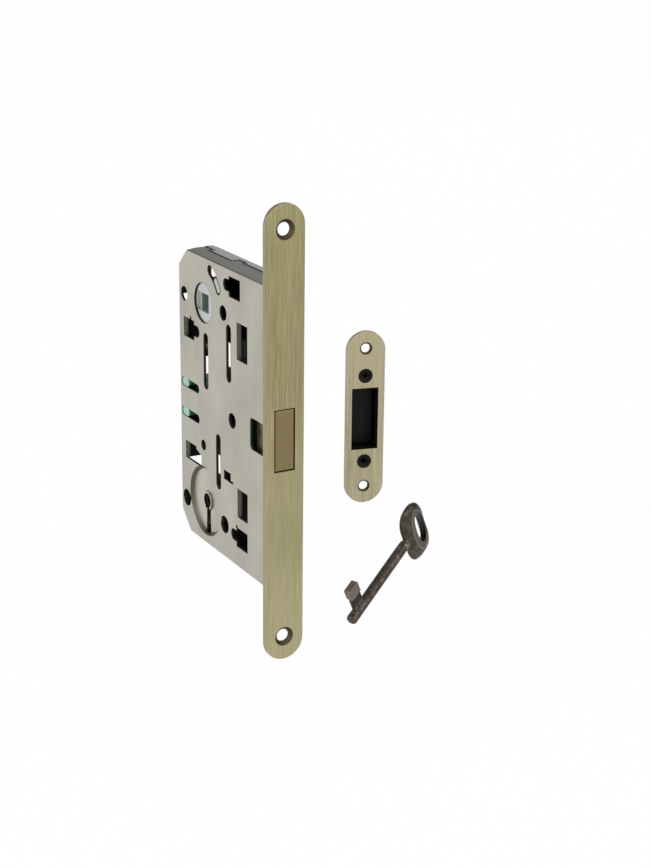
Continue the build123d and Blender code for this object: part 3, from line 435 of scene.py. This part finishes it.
def boltFinish():
    bolt = Finish("boltHead")
    satin = bolt.noise(boltHead["grain"], detail=3.0, rough=0.6)
    base = bolt.ramp(satin, boltHead, (0.25, 0.5, 0.8))
    halfWide, halfHigh = boltHead["half"]
    rim = abs(bolt.along((0.0, 1.0, 0.0))) - halfWide
    rim = rim.higher(abs(bolt.along((0.0, 0.0, 1.0))) - halfHigh)
    atFront = bolt.along((1.0, 0.0, 0.0)).step(*boltHead["gapShadeDepth"])
    # painted shade: the bolt's rim is darkened where the gap round it lies in shade
    base = bolt.mix(rim.step(-0.28, -0.1) * atFront, base, colour(*boltHead["gapShade"]))
    roughness = boltHead["roughness"] + (satin - 0.5) * 0.15
    return bolt.finish(base, roughness, height=satin, depth=0.008, strength=0.2)


dress(boltFinish(), "latch_head")

# Sheet steel case: satin nickel outside, with painted shade inside it, on the walls of its openings and on the
# folds along its top. Lengths in millimetres.
# A bent wall is given by its place along x and z and half its height.
caseSheet = {
    "main": (178, 175, 163),
    "light": (186, 183, 172),
    "dark": (170, 167, 155),
    "foldNearShade": (72, 71, 66),
    "foldFarShade": (132, 136, 131),
    "seamSpan": (-0.2, 4.3),
    "seamRounding": 1.3,
    "slope": (76, 68, 57),
    "dishFloorLight": (198, 190, 177),
    "cut": (34, 32, 29),
    "wallShade": (132, 130, 118),
    "bentWalls": (
        (-79.8, 30.4, 4.4),
        (-28.4, 36.1, 8.0),
        (-28.4, -35.3, 6.5),
        (-79.6, -26.3, 4.1),
    ),
    "insideShade": (26, 25, 24),
    "near": -7.4,
    "far": 7.4,
    "top": 65.0,
    "bottom": -65.0,
    "back": -84.0,
    "topChamfer": 8.0,
    "bottomChamfer": 9.0,
    "dishCentre": (-60.0, 0.0, -45.0),
    "dishRadius": 15.9,
    "dishFloorRadius": 14.4,
    "dishDepth": 1.6,
    "dishLightFade": (8.0, -7.0),
    "keyhole": 3.4,
    "collar": 4.7,
    "collarShade": (66, 60, 52),
    "hub": (-60.0, 0.0, 45.0),
    "ringRadius": 8.98,
    "cloud": (0.05, 0.05, 0.035),
    "grit": (5.0, 5.0, 5.0),
    "roughness": 0.38,
}


def sheetDepth(sheet, outer, sign):
    # how far below the case's outer skin a point lies, in millimetres: first across, then from the folded edges
    s = caseSheet
    across = (sheet.along((0.0, 1.0, 0.0)) - outer) * sign
    high = s["top"] - sheet.along((0.0, 0.0, 1.0))
    low = sheet.along((0.0, 0.0, 1.0)) - s["bottom"]
    back = sheet.along((1.0, 0.0, 0.0)) - s["back"]
    slant = math.sqrt(0.5)
    topCorner = (s["back"] + s["topChamfer"], 0.0, s["top"])
    lowCorner = (s["back"] + s["bottomChamfer"], 0.0, s["bottom"])
    cornerHigh = sheet.along((slant, 0.0, -slant), topCorner)
    cornerLow = sheet.along((slant, 0.0, slant), lowCorner)
    fold = high.lower(low).lower(back).lower(cornerHigh.lower(cornerLow))
    return across, fold


def around(sheet, place):
    # distance from an axis that runs across the case
    offset = sheet.place((1.0, 0.0, 1.0), (-place[0], 0.0, -place[2]))
    return sheet.add("ShaderNodeVectorMath", {"operation": "LENGTH"}, {0: offset}, out="Value")


def sheetFinish(name, outer, sign, hasDish):
    # outer is the skin's place across the case, and sign the way inwards; only the near side has the dish
    s = caseSheet
    sheet = Finish(name)
    across, fold = sheetDepth(sheet, outer, sign)
    if hasDish:
        radius = around(sheet, s["dishCentre"])
        slope = (s["dishRadius"] - radius) / (s["dishRadius"] - s["dishFloorRadius"])
        across = across - slope.higher(0.0).lower(1.0) * s["dishDepth"]
    cloud = sheet.noise(s["cloud"], detail=3.0, rough=0.55)
    grit = sheet.noise(s["grit"], detail=3.0, rough=0.7, offset=(4.0, 1.0, 8.0))
    satin = (cloud * 0.75 + grit * 0.25).step(0.3, 0.7)
    skin = sheet.ramp(satin, s)
    # painted shade: the folds' top faces are darkened, the near fold more than the far one
    top = sheet.facing((0.0, 0.0, 1.0)).step(0.5, 0.95)
    skin = sheet.mix(top, skin, colour(*(s["foldNearShade"] if hasDish else s["foldFarShade"])))
    skin = sheet.mix(sheet.edges(0.25) * 0.3, skin, colour(*s["light"]))
    # painted shade: a near-black shader along the seam between the folds
    seamLow, seamHigh = s["seamSpan"]
    seamHalf = (seamHigh - seamLow) / 2
    beside = abs(sheet.along((0.0, 1.0, 0.0), (0.0, (seamLow + seamHigh) / 2, 0.0)))
    atSeam = beside.step(seamHalf + 0.3, seamHalf)
    seamWall = abs(sheet.facing((0.0, 1.0, 0.0))).step(0.3, 0.7)
    seam = (sheet.edges(s["seamRounding"], 0.985) * top).higher(seamWall) * atSeam
    # painted shade on the sheet's cut walls in its openings and on its inner skin; the bent walls of some
    # windows get a lighter painted shade
    cut = across.lower(fold).step(0.1, 0.5)
    walls = across.step(1.2, 3.0) if hasDish else across.step(0.3, 0.9)
    hollowShade = walls.lower(fold.step(0.4, 0.8))
    bent = 0.0
    for x, z, half in s["bentWalls"] if hasDish else ():
        reach = abs(sheet.along((1.0, 0.0, 0.0), (x, 0.0, 0.0))).step(0.8, 0.4)
        level = abs(sheet.along((0.0, 0.0, 1.0), (0.0, 0.0, z))).step(half + 0.3, half)
        bent = (reach * level).higher(bent)
    wallTone = colour(*s["cut"])
    if hasDish:
        wallTone = sheet.mix(bent, wallTone, colour(*s["wallShade"]))
    base = sheet.mix(cut, skin, wallTone)
    base = sheet.mix(hollowShade, base, colour(*s["insideShade"]))
    rough = cut * 0.14 + hollowShade * 0.2
    if hasDish:
        # painted shade on the dish's sloping wall
        wallShade = radius.step(s["dishFloorRadius"] - 0.2, s["dishFloorRadius"] + 0.2)
        wallShade = wallShade * radius.step(s["dishRadius"] + 0.05, s["dishRadius"] - 0.25)
        base = sheet.mix(wallShade * 0.85, base, colour(*s["slope"]))
        # painted light on the dish's floor, fading along x
        floor = radius.step(s["dishFloorRadius"], s["dishFloorRadius"] - 0.5) * (1 - cut)
        floor = floor * sheet.along((1.0, 0.0, 0.0), s["dishCentre"]).step(*s["dishLightFade"])
        base = sheet.mix(floor * 0.85, base, colour(*s["dishFloorLight"]))
        collar = radius.step(s["collar"], s["collar"] - 0.2)
        collar = collar * sheet.facing((1.0, 0.0, 0.0)).step(0.05, 0.4)
        base = sheet.mix(collar * 0.9, base, colour(*s["collarShade"]))
        ring = around(sheet, s["hub"]).step(s["ringRadius"], s["ringRadius"] - 0.2)
        shade = ring.higher(radius.step(s["keyhole"], s["keyhole"] - 0.2))
        base = sheet.mix(shade, base, colour(*s["insideShade"]))
        rough = rough + wallShade * 0.15
    metal = 1 - hollowShade.higher(cut * 0.85)
    roughness = s["roughness"] + (grit - 0.5) * 0.14 + rough
    return sheet.finish(base, roughness, metal, height=grit, depth=0.012, strength=0.25, gapShade=seam)


dress(sheetFinish("nearSheet", caseSheet["near"], 1.0, True), "case_shell")
dress(sheetFinish("farSheet", caseSheet["far"], -1.0, False), "cover_shell")

# Working parts: each has its tones, the stretch of its grain and its roughness
workingMetals = {
    "follower": {
        "main": (198, 202, 200),
        "grain": (174, 179, 177),
        "stretch": (1.2, 1.2, 1.2),
        "roughness": 0.3,
    },
    "draw_lever": {
        "main": (196, 196, 190),
        "grain": (168, 168, 160),
        "stretch": (2.2, 2.2, 0.3),
        "roughness": 0.3,
    },
    "deadlock_slide": {
        "main": (92, 90, 84),
        "grain": (74, 72, 66),
        "stretch": (2.0, 2.0, 0.2),
        "roughness": 0.36,
    },
    "lever_tumbler": {
        "main": (104, 92, 62),
        "grain": (84, 74, 50),
        "stretch": (2.0, 2.0, 0.4),
        "roughness": 0.34,
    },
    "latch_carrier": {
        "main": (58, 150, 128),
        "grain": (34, 118, 100),
        "stretch": (0.8, 0.8, 0.8),
        "roughness": 0.4,
    },
    "latch_guides": {
        "main": (44, 44, 46),
        "grain": (34, 34, 36),
        "stretch": (1.5, 1.5, 1.5),
        "roughness": 0.55,
    },
    "handle_spring_seat": {
        "main": (16, 16, 17),
        "grain": (11, 11, 12),
        "stretch": (1.5, 1.5, 1.5),
        "roughness": 0.55,
    },
    "pinSteel": {
        "main": (142, 142, 138),
        "grain": (112, 112, 108),
        "stretch": (1.0, 2.5, 1.0),
        "roughness": 0.32,
    },
    "magnetNickel": {
        "main": (120, 120, 122),
        "grain": (98, 98, 100),
        "stretch": (1.0, 1.0, 1.0),
        "roughness": 0.2,
    },
    "screwZinc": {
        "main": (172, 174, 170),
        "grain": (140, 142, 138),
        "stretch": (1.6, 1.6, 1.6),
        "roughness": 0.3,
    },
}
plastics = ("latch_guides", "handle_spring_seat")
# Radii are from the hub's axis; tabEnds gives both ends of the arm's tab, each with the way that leads past it
followerTones = {
    "axis": (-60.0, 0.0, 45.0),
    "slotRadius": 17.0,
    "slotHalf": (1.15, 1.5),
    "tabEnds": (
        ((-45.505, 0.0, 53.882), (0.5225, 0.0, -0.8526)),
        ((-47.937, 0.0, 56.979), (-0.7046, 0.0, 0.7096)),
    ),
    "squareHalf": (4.45, 4.15),
    "face": (0.0, -7.2, 0.0),
    "rim": (7.4, 6.8, 8.2),
    "journal": (8.4, 8.7),
    "disc": (13.0, 12.0),
    "boreShade": (112, 124, 118),
    "wearAndHighlight": (226, 230, 228),
    "shade": (48, 46, 43),
}
carrierTones = {
    "metal": 0.35,
    "slotLightSpan": (6.2, 6.7),
    "slotLight": (156, 202, 184),
    "edge": (170, 210, 194),
}


def workingFinish(name):
    tones = workingMetals[name]
    metal = Finish(name + "Metal")
    grain = metal.noise(tones["stretch"], detail=4.0, rough=0.6)
    speck = metal.noise((6.0, 6.0, 6.0), detail=2.0, offset=(1.5, 6.0, 2.5))
    pattern = (grain * 0.7 + speck * 0.3).step(0.3, 0.7)
    base = metal.mix(pattern, colour(*tones["grain"]), colour(*tones["main"]))
    light = colour(*(min(255, value + 28) for value in tones["main"]))
    base = metal.mix(metal.edges(0.2) * 0.5, base, light)
    roughness = tones["roughness"] + (grain - 0.5) * 0.2
    return metal.finish(base, roughness, 0.0 if name in plastics else 1.0, height=speck, depth=0.01)


def followerFinish():
    # light zinc, with painted highlights on the edges round the bore; the square bore gets a painted shade
    # inside, and the rim and the outer arms lie in the case's shade
    tones = workingMetals["follower"]
    f = followerTones
    metal = Finish("followerZinc")
    grain = metal.noise(tones["stretch"], detail=4.0, rough=0.6)
    base = metal.mix(grain.step(0.3, 0.7), colour(*tones["grain"]), colour(*tones["main"]))
    x = metal.along((1.0, 0.0, 0.0), f["axis"])
    z = metal.along((0.0, 0.0, 1.0), f["axis"])
    reach = (x * x + z * z) ** 0.5
    depth = metal.along((0.0, 1.0, 0.0), f["face"])
    boreShade = abs(x).higher(abs(z)).step(*f["squareHalf"]) * depth.step(0.3, 0.8)
    beyond = 0.0
    for end, outwards in f["tabEnds"]:
        past = metal.along(outwards, end).higher(0.0)
        beyond = past * past + beyond
    aside = reach - f["slotRadius"]
    tab = ((aside * aside + beyond) ** 0.5).step(*f["slotHalf"])
    # painted shade inside the square bore
    base = metal.mix(boreShade, base, colour(*f["boreShade"]))
    edge = metal.edges(0.25)
    rim, rimInside, rimOutside = f["rim"]
    # painted highlight on the edges round the bore
    base = metal.mix(edge * reach.step(rim, rimInside) * 0.6, base, colour(*f["wearAndHighlight"]))
    discEnd, discFade = f["disc"]
    disc = reach.step(*f["journal"]) * reach.step(discEnd, discFade)
    shade = (edge * reach.step(rim, rimOutside)).higher(disc)
    shade = shade.higher(tab * reach.step(discEnd, discEnd + 1.0))
    base = metal.mix(shade, base, colour(*f["shade"]))
    roughness = tones["roughness"] + boreShade * 0.3 + shade * 0.2
    return metal.finish(base, roughness, 1 - boreShade, height=grain, depth=0.01)


def carrierFinish():
    # green passivated casting, with painted light on its guides' outer faces, which sit in the case's slots
    tones = workingMetals["latch_carrier"]
    cast = Finish("carrierCasting")
    grain = cast.noise(tones["stretch"], detail=4.0, rough=0.65)
    base = cast.mix(grain.step(0.3, 0.7), colour(*tones["grain"]), colour(*tones["main"]))
    # painted light on the faces nearest the case's slots
    slotLight = abs(cast.along((0.0, 1.0, 0.0))).step(*carrierTones["slotLightSpan"])
    base = cast.mix(slotLight * 0.9, base, colour(*carrierTones["slotLight"]))
    base = cast.mix(cast.edges(0.3) * 0.4, base, colour(*carrierTones["edge"]))
    roughness = tones["roughness"] + (grain - 0.5) * 0.2
    return cast.finish(base, roughness, carrierTones["metal"], height=grain, depth=0.03, strength=0.4)


dress(followerFinish(), "follower")
dress(carrierFinish(), "latch_carrier")
for ownMetal in ("draw_lever", "deadlock_slide", "lever_tumbler", "latch_guides", "handle_spring_seat"):
    dress(workingFinish(ownMetal), ownMetal)
pins = ("case_pillars", "latch_pin", "latch_spring_post", "draw_lever_stub", "tumbler_stub", "deadlock_studs")
dress(workingFinish("pinSteel"), *pins)
dress(workingFinish("magnetNickel"), "latch_magnet", "strike_magnet", "keeper_plate")
dress(workingFinish("screwZinc"), "cover_screws", "forend_rivets")

# Strike: moulded black box with faint draw marks, black screws and a black magnet holder
blackMoulding = {
    "box": {
        "main": (5, 5, 6),
        "mark": (14, 14, 15),
        "edge": (18, 18, 19),
        "stretch": (0.9, 0.9, 0.03),
    },
    "screw": {
        "main": (10, 10, 12),
        "mark": (20, 20, 23),
        "edge": (34, 34, 36),
        "stretch": (1.2, 1.2, 1.2),
    },
    "roughness": 0.5,
    "gloss": 0.18,
}


def mouldedFinish(name):
    tones = blackMoulding[name]
    black = Finish(name + "Black")
    marks = black.noise(tones["stretch"], detail=3.0, rough=0.6)
    speck = black.noise((4.0, 4.0, 4.0), detail=3.0, rough=0.6, offset=(2.0, 5.0, 1.0))
    base = black.mix(marks.step(0.4, 0.7), colour(*tones["main"]), colour(*tones["mark"]))
    base = black.mix(black.edges(0.25) * 0.5, base, colour(*tones["edge"]))
    roughness = blackMoulding["roughness"] + (speck - 0.5) * 0.2
    gloss = blackMoulding["gloss"]
    return black.finish(base, roughness, 0.0, height=speck, depth=0.02, strength=0.35, specular=gloss)


dress(mouldedFinish("box"), "strike_box", "magnet_holder")
dress(mouldedFinish("screw"), "strike_adjusters")
print("CAD nodes dressed")


def addMesh(name, points, faces, body, material):
    mesh = bpy.data.meshes.new(name)
    mesh.from_pydata(points, [], faces)
    mesh.validate()
    for polygon in mesh.polygons:
        polygon.use_smooth = True
    mesh.materials.append(material)
    thing = bpy.data.objects.new(name, mesh)
    scene.collection.objects.link(thing)
    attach(thing, body)
    return thing


def wireAlong(path, radius, sides=10):
    # round wire through points in millimetres, with closed ends
    points = [Vector(point) for point in path]
    rings = []
    side = None
    for index, point in enumerate(points):
        ahead = points[min(index + 1, len(points) - 1)]
        behind = points[max(index - 1, 0)]
        way = (ahead - behind).normalized()
        if side is None:
            side = way.orthogonal().normalized()
        side = (side - way * side.dot(way)).normalized()
        other = way.cross(side)
        for step in range(sides):
            angle = 2 * math.pi * step / sides
            rings.append((point + radius * (math.cos(angle) * side + math.sin(angle) * other)) * mm)
    faces = []
    for ring in range(len(points) - 1):
        for step in range(sides):
            after = (step + 1) % sides
            low = ring * sides
            faces.append((low + step, low + after, low + sides + after, low + sides + step))
    faces.append(tuple(reversed(range(sides))))
    last = (len(points) - 1) * sides
    faces.append(tuple(range(last, last + sides)))
    return rings, faces


# Springs: real coils in place of the CAD sleeves. A wire's size is its radius, in millimetres.
springs = {
    "latch_spring": {
        "start": (-49.65, 0.0, -0.2),
        "end": (-29.25, 0.0, -0.2),
        "radius": 1.85,
        "wire": 0.34,
        "turns": 12,
    },
    "handle_spring": {
        "start": (-56.0, 1.8, 31.2),
        "end": (-34.5, 1.8, 31.2),
        "radius": 2.5,
        "wire": 0.47,
        "turns": 11,
    },
    "tumbler_spring": {
        "centre": (-35.5, -16.5),
        "radius": 3.25,
        "wire": 0.43,
        "turns": 2,
        "back": -5.25,
        "front": -3.95,
        "legAngle": -128.0,
        "legReach": (4.2, 5.4, 6.6, 7.2, 7.45),
        "bendReach": 7.5,
        "bend": (-3.7, -3.0, -2.3, -1.75),
    },
    "bright": ((104, 104, 104), (146, 146, 144)),
    # painted shade: darker tones for the spring that lies in the case's shade
    "shadedTones": ((30, 30, 29), (46, 46, 45)),
    "closed": 1.4,
    "slack": 1.05,
    "perTurn": 26,
}


def springSteel(name, dark, light):
    steel = Finish(name)
    drawn = steel.noise((3.0, 3.0, 3.0), detail=3.0, rough=0.6)
    base = steel.mix(drawn.step(0.3, 0.7), colour(*dark), colour(*light))
    return steel.finish(base, 0.28 + (drawn - 0.5) * 0.15, height=drawn, depth=0.01)


def pressureCoil(facts):
    # a coil along x whose last turns lie against each other
    start, end = Vector(facts["start"]), Vector(facts["end"])
    length = end.x - start.x
    closed = springs["closed"]
    flat = 2 * facts["wire"] * springs["slack"]
    opening = length - 2 * closed * flat
    total = facts["turns"]
    path = []
    for step in range(total * springs["perTurn"] + 1):
        turns = step / springs["perTurn"]
        inner = min(max(turns - closed, 0.0), total - 2 * closed)
        travel = min(turns, closed) * flat + inner / (total - 2 * closed) * opening
        travel += max(turns - (total - closed), 0.0) * flat
        angle = 2 * math.pi * turns
        radius = facts["radius"]
        path.append(start + Vector((travel, radius * math.cos(angle), radius * math.sin(angle))))
    return wireAlong(path, facts["wire"])


def legCoil(facts):
    # two turns round the stub, a straight leg and its bent end in the tumbler's slot
    x, z = facts["centre"]
    legAngle = math.radians(facts["legAngle"])
    steps = facts["turns"] * springs["perTurn"]
    path = []
    for step in range(steps + 1):
        share = step / steps
        angle = legAngle - 2 * math.pi * facts["turns"] * (1 - share)
        y = facts["back"] + (facts["front"] - facts["back"]) * share
        path.append((x + facts["radius"] * math.cos(angle), y, z + facts["radius"] * math.sin(angle)))
    for reach in facts["legReach"]:
        path.append((x + reach * math.cos(legAngle), facts["front"], z + reach * math.sin(legAngle)))
    reach = facts["bendReach"]
    for y in facts["bend"]:
        path.append((x + reach * math.cos(legAngle), y, z + reach * math.sin(legAngle)))
    return wireAlong(path, facts["wire"])


coilSteel = springSteel("springSteel", *springs["bright"])
# painted shade: a dark copy of the spring steel for the handle spring
shadedSpringSteel = springSteel("shadedSpringSteel", *springs["shadedTones"])
winding = (
    ("latch_spring", pressureCoil, coilSteel),
    ("handle_spring", pressureCoil, shadedSpringSteel),
    ("tumbler_spring", legCoil, coilSteel),
)
for springName, maker, wire in winding:
    springPoints, springFaces = maker(springs[springName])
    coil = addMesh(springName + "Coil", springPoints, springFaces, "case", wire)
    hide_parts(springName)
    springs[springName]["coil"] = coil
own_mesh(springs["latch_spring"]["coil"])
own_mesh(springs["handle_spring"]["coil"])
print("springs wound")

# Key: one casting in dark bronze, with soft corners, a worn line round the rim of its bow, painted shade in its
# bow's hole and under its bit and a painted highlight at the shaft's root. Lengths are in millimetres from the
# tip, along the shaft and up towards the bit. The waves shape the bow's outline.
castKey = {
    "tip": (36.8, 10.8, -68.2),
    "along": (-0.3508, 0.7961, 0.4931),
    "across": (0.9085, 0.4171, -0.027),
    "voxel": 0.22,
    "soften": 4,
    "main": (76, 69, 61),
    "dark": (46, 41, 37),
    "light": (110, 101, 91),
    "olive": (98, 91, 76),
    # black is the tone of the painted shade in the bow's hole and under the bit
    "black": (20, 18, 16),
    "wearAndHighlight": (156, 148, 130),
    "roughness": 0.35,
    "bowCentre": 51.7,
    "bowHalf": (9.0, 14.1),
    "bowHole": (2.75, 2.7, 8.5),
    "bowGrowth": -0.027,
    "bowWaves": ((-0.037, -0.092, 0.007, -0.064), (0.018, -0.024, 0.01, 0.0)),
    "bitPlace": (12.0, 9.9),
    "undercut": (6.0, 9.6),
    "rimOffset": 1.6,
    "rimHalf": (4.6, 11.4),
    "neck": (40.0, 43.0, 43.6),
    "cloud": (0.35, 0.35, 0.35),
    "grit": (2.6, 2.6, 2.6),
}


def keyAxes():
    along = Vector(castKey["along"]).normalized()
    across = Vector(castKey["across"])
    across = (across - along * across.dot(along)).normalized()
    return along, across.cross(along), across


def trimBow(mesh):
    # the bow isn't an even oval: its outline grows or shrinks smoothly with the direction from its centre
    along, upright, across = keyAxes()
    halfLong, halfHigh = castKey["bowHalf"]
    centre = Vector(castKey["tip"]) + along * castKey["bowCentre"]
    even, odd = castKey["bowWaves"]

    def ease(value):
        value = min(max(value, 0.0), 1.0)
        return value * value * (3 - 2 * value)

    for vertex in mesh.vertices:
        point = vertex.co / mm - centre
        longWay, highWay = point.dot(along), point.dot(upright)
        if abs(longWay) > 13:
            continue
        reach = math.hypot(longWay / halfLong, highWay / halfHigh)
        angle = math.atan2(highWay / halfHigh, longWay / halfLong)
        growth = castKey["bowGrowth"]
        for wave, (cosine, sine) in enumerate(zip(even, odd), start=1):
            growth += cosine * math.cos(wave * angle) + sine * math.sin(wave * angle)
        growth *= ease((reach - 0.5) / 0.4) * ease((longWay + 13) / 4)
        vertex.co += (along * longWay + upright * highWay) * growth * mm


def keyMesh():
    # the CAD key, joined into one skin, so that its corners run into each other as in a casting
    source = nodes["key"]
    mesh = source.data.copy()
    thing = bpy.data.objects.new("bowKeyCast", mesh)
    scene.collection.objects.link(thing)
    remesh = thing.modifiers.new("skin", "REMESH")
    remesh.mode = "VOXEL"
    remesh.voxel_size = castKey["voxel"] * mm
    remesh.use_smooth_shade = True
    soften = thing.modifiers.new("soften", "SMOOTH")
    soften.factor = 0.5
    soften.iterations = castKey["soften"]
    graph = bpy.context.evaluated_depsgraph_get()
    graph.update()
    cast = bpy.data.meshes.new_from_object(thing.evaluated_get(graph))
    thing.modifiers.clear()
    thing.data = cast
    cast.name = "bowKeyCast"
    trimBow(cast)
    cast.materials.clear()
    cast.materials.append(keyFinish())
    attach(thing, "key")
    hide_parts("key")


def keyFinish():
    along, upright, across = keyAxes()
    k = castKey
    bronze = Finish("castBronze")
    s = bronze.along(along, k["tip"])
    b = bronze.along(upright, k["tip"])
    n = abs(bronze.along(across, k["tip"]))
    cloud = bronze.noise(k["cloud"], detail=4.0, rough=0.65)
    grit = bronze.noise(k["grit"], detail=4.0, rough=0.7, offset=(3.0, 8.0, 1.0))
    tone = (cloud * 0.6 + grit * 0.4).step(0.3, 0.72)
    base = bronze.ramp(tone, k, (0.0, 0.55, 1.0))
    ringS = (s - (k["bowCentre"] + k["rimOffset"])) / k["rimHalf"][0]
    ringB = b / k["rimHalf"][1]
    ring = (ringS * ringS + ringB * ringB) ** 0.5
    neckStart, neckEnd, rootPlace = k["neck"]
    face = n.step(1.1, 1.5) * ring.step(1.1, 1.0) * s.step(neckStart, neckEnd)
    base = bronze.mix(face * 0.6, base, colour(*k["olive"]))
    rimLine = ring.step(0.89, 0.95) * ring.step(1.05, 0.98) * n.step(1.2, 1.45)
    base = bronze.mix(rimLine * (0.15 + grit * 0.45), base, colour(*k["wearAndHighlight"]))
    holeOffset, holeHalfLong, holeHalfHigh = k["bowHole"]
    holeS = (s - (k["bowCentre"] + holeOffset)) / holeHalfLong
    holeB = b / holeHalfHigh
    hole = (holeS * holeS + holeB * holeB) ** 0.5
    # painted shade on the walls of the bow's hole
    base = bronze.mix(hole.step(1.08, 0.98) * n.step(1.7, 1.3), base, colour(*k["black"]))
    rootS = s - rootPlace
    # painted highlight at the shaft's root
    rootHighlight = (rootS * rootS + b * b * 0.6).step(6.0, 1.0)
    base = bronze.mix(rootHighlight * 0.3, base, colour(*k["wearAndHighlight"]))
    bitEnd, bitHeight = k["bitPlace"]
    bit = s.step(bitEnd + 0.5, bitEnd) * b.step(bitHeight, bitHeight + 0.4)
    base = bronze.mix(bit * 0.3, base, colour(*k["wearAndHighlight"]))
    low, high = k["undercut"]
    # painted shade on the neck under the bit
    undercutShade = b.step(low - 1.5, low) * b.step(high + 0.3, high - 0.5) * s.step(bitEnd + 1.0, bitEnd + 0.5)
    base = bronze.mix(undercutShade * 0.75, base, colour(*k["black"]))
    roughness = k["roughness"] + (grit - 0.5) * 0.25
    return bronze.finish(base, roughness, height=grit, depth=0.04, strength=0.4)


keyMesh()
print("key cast")
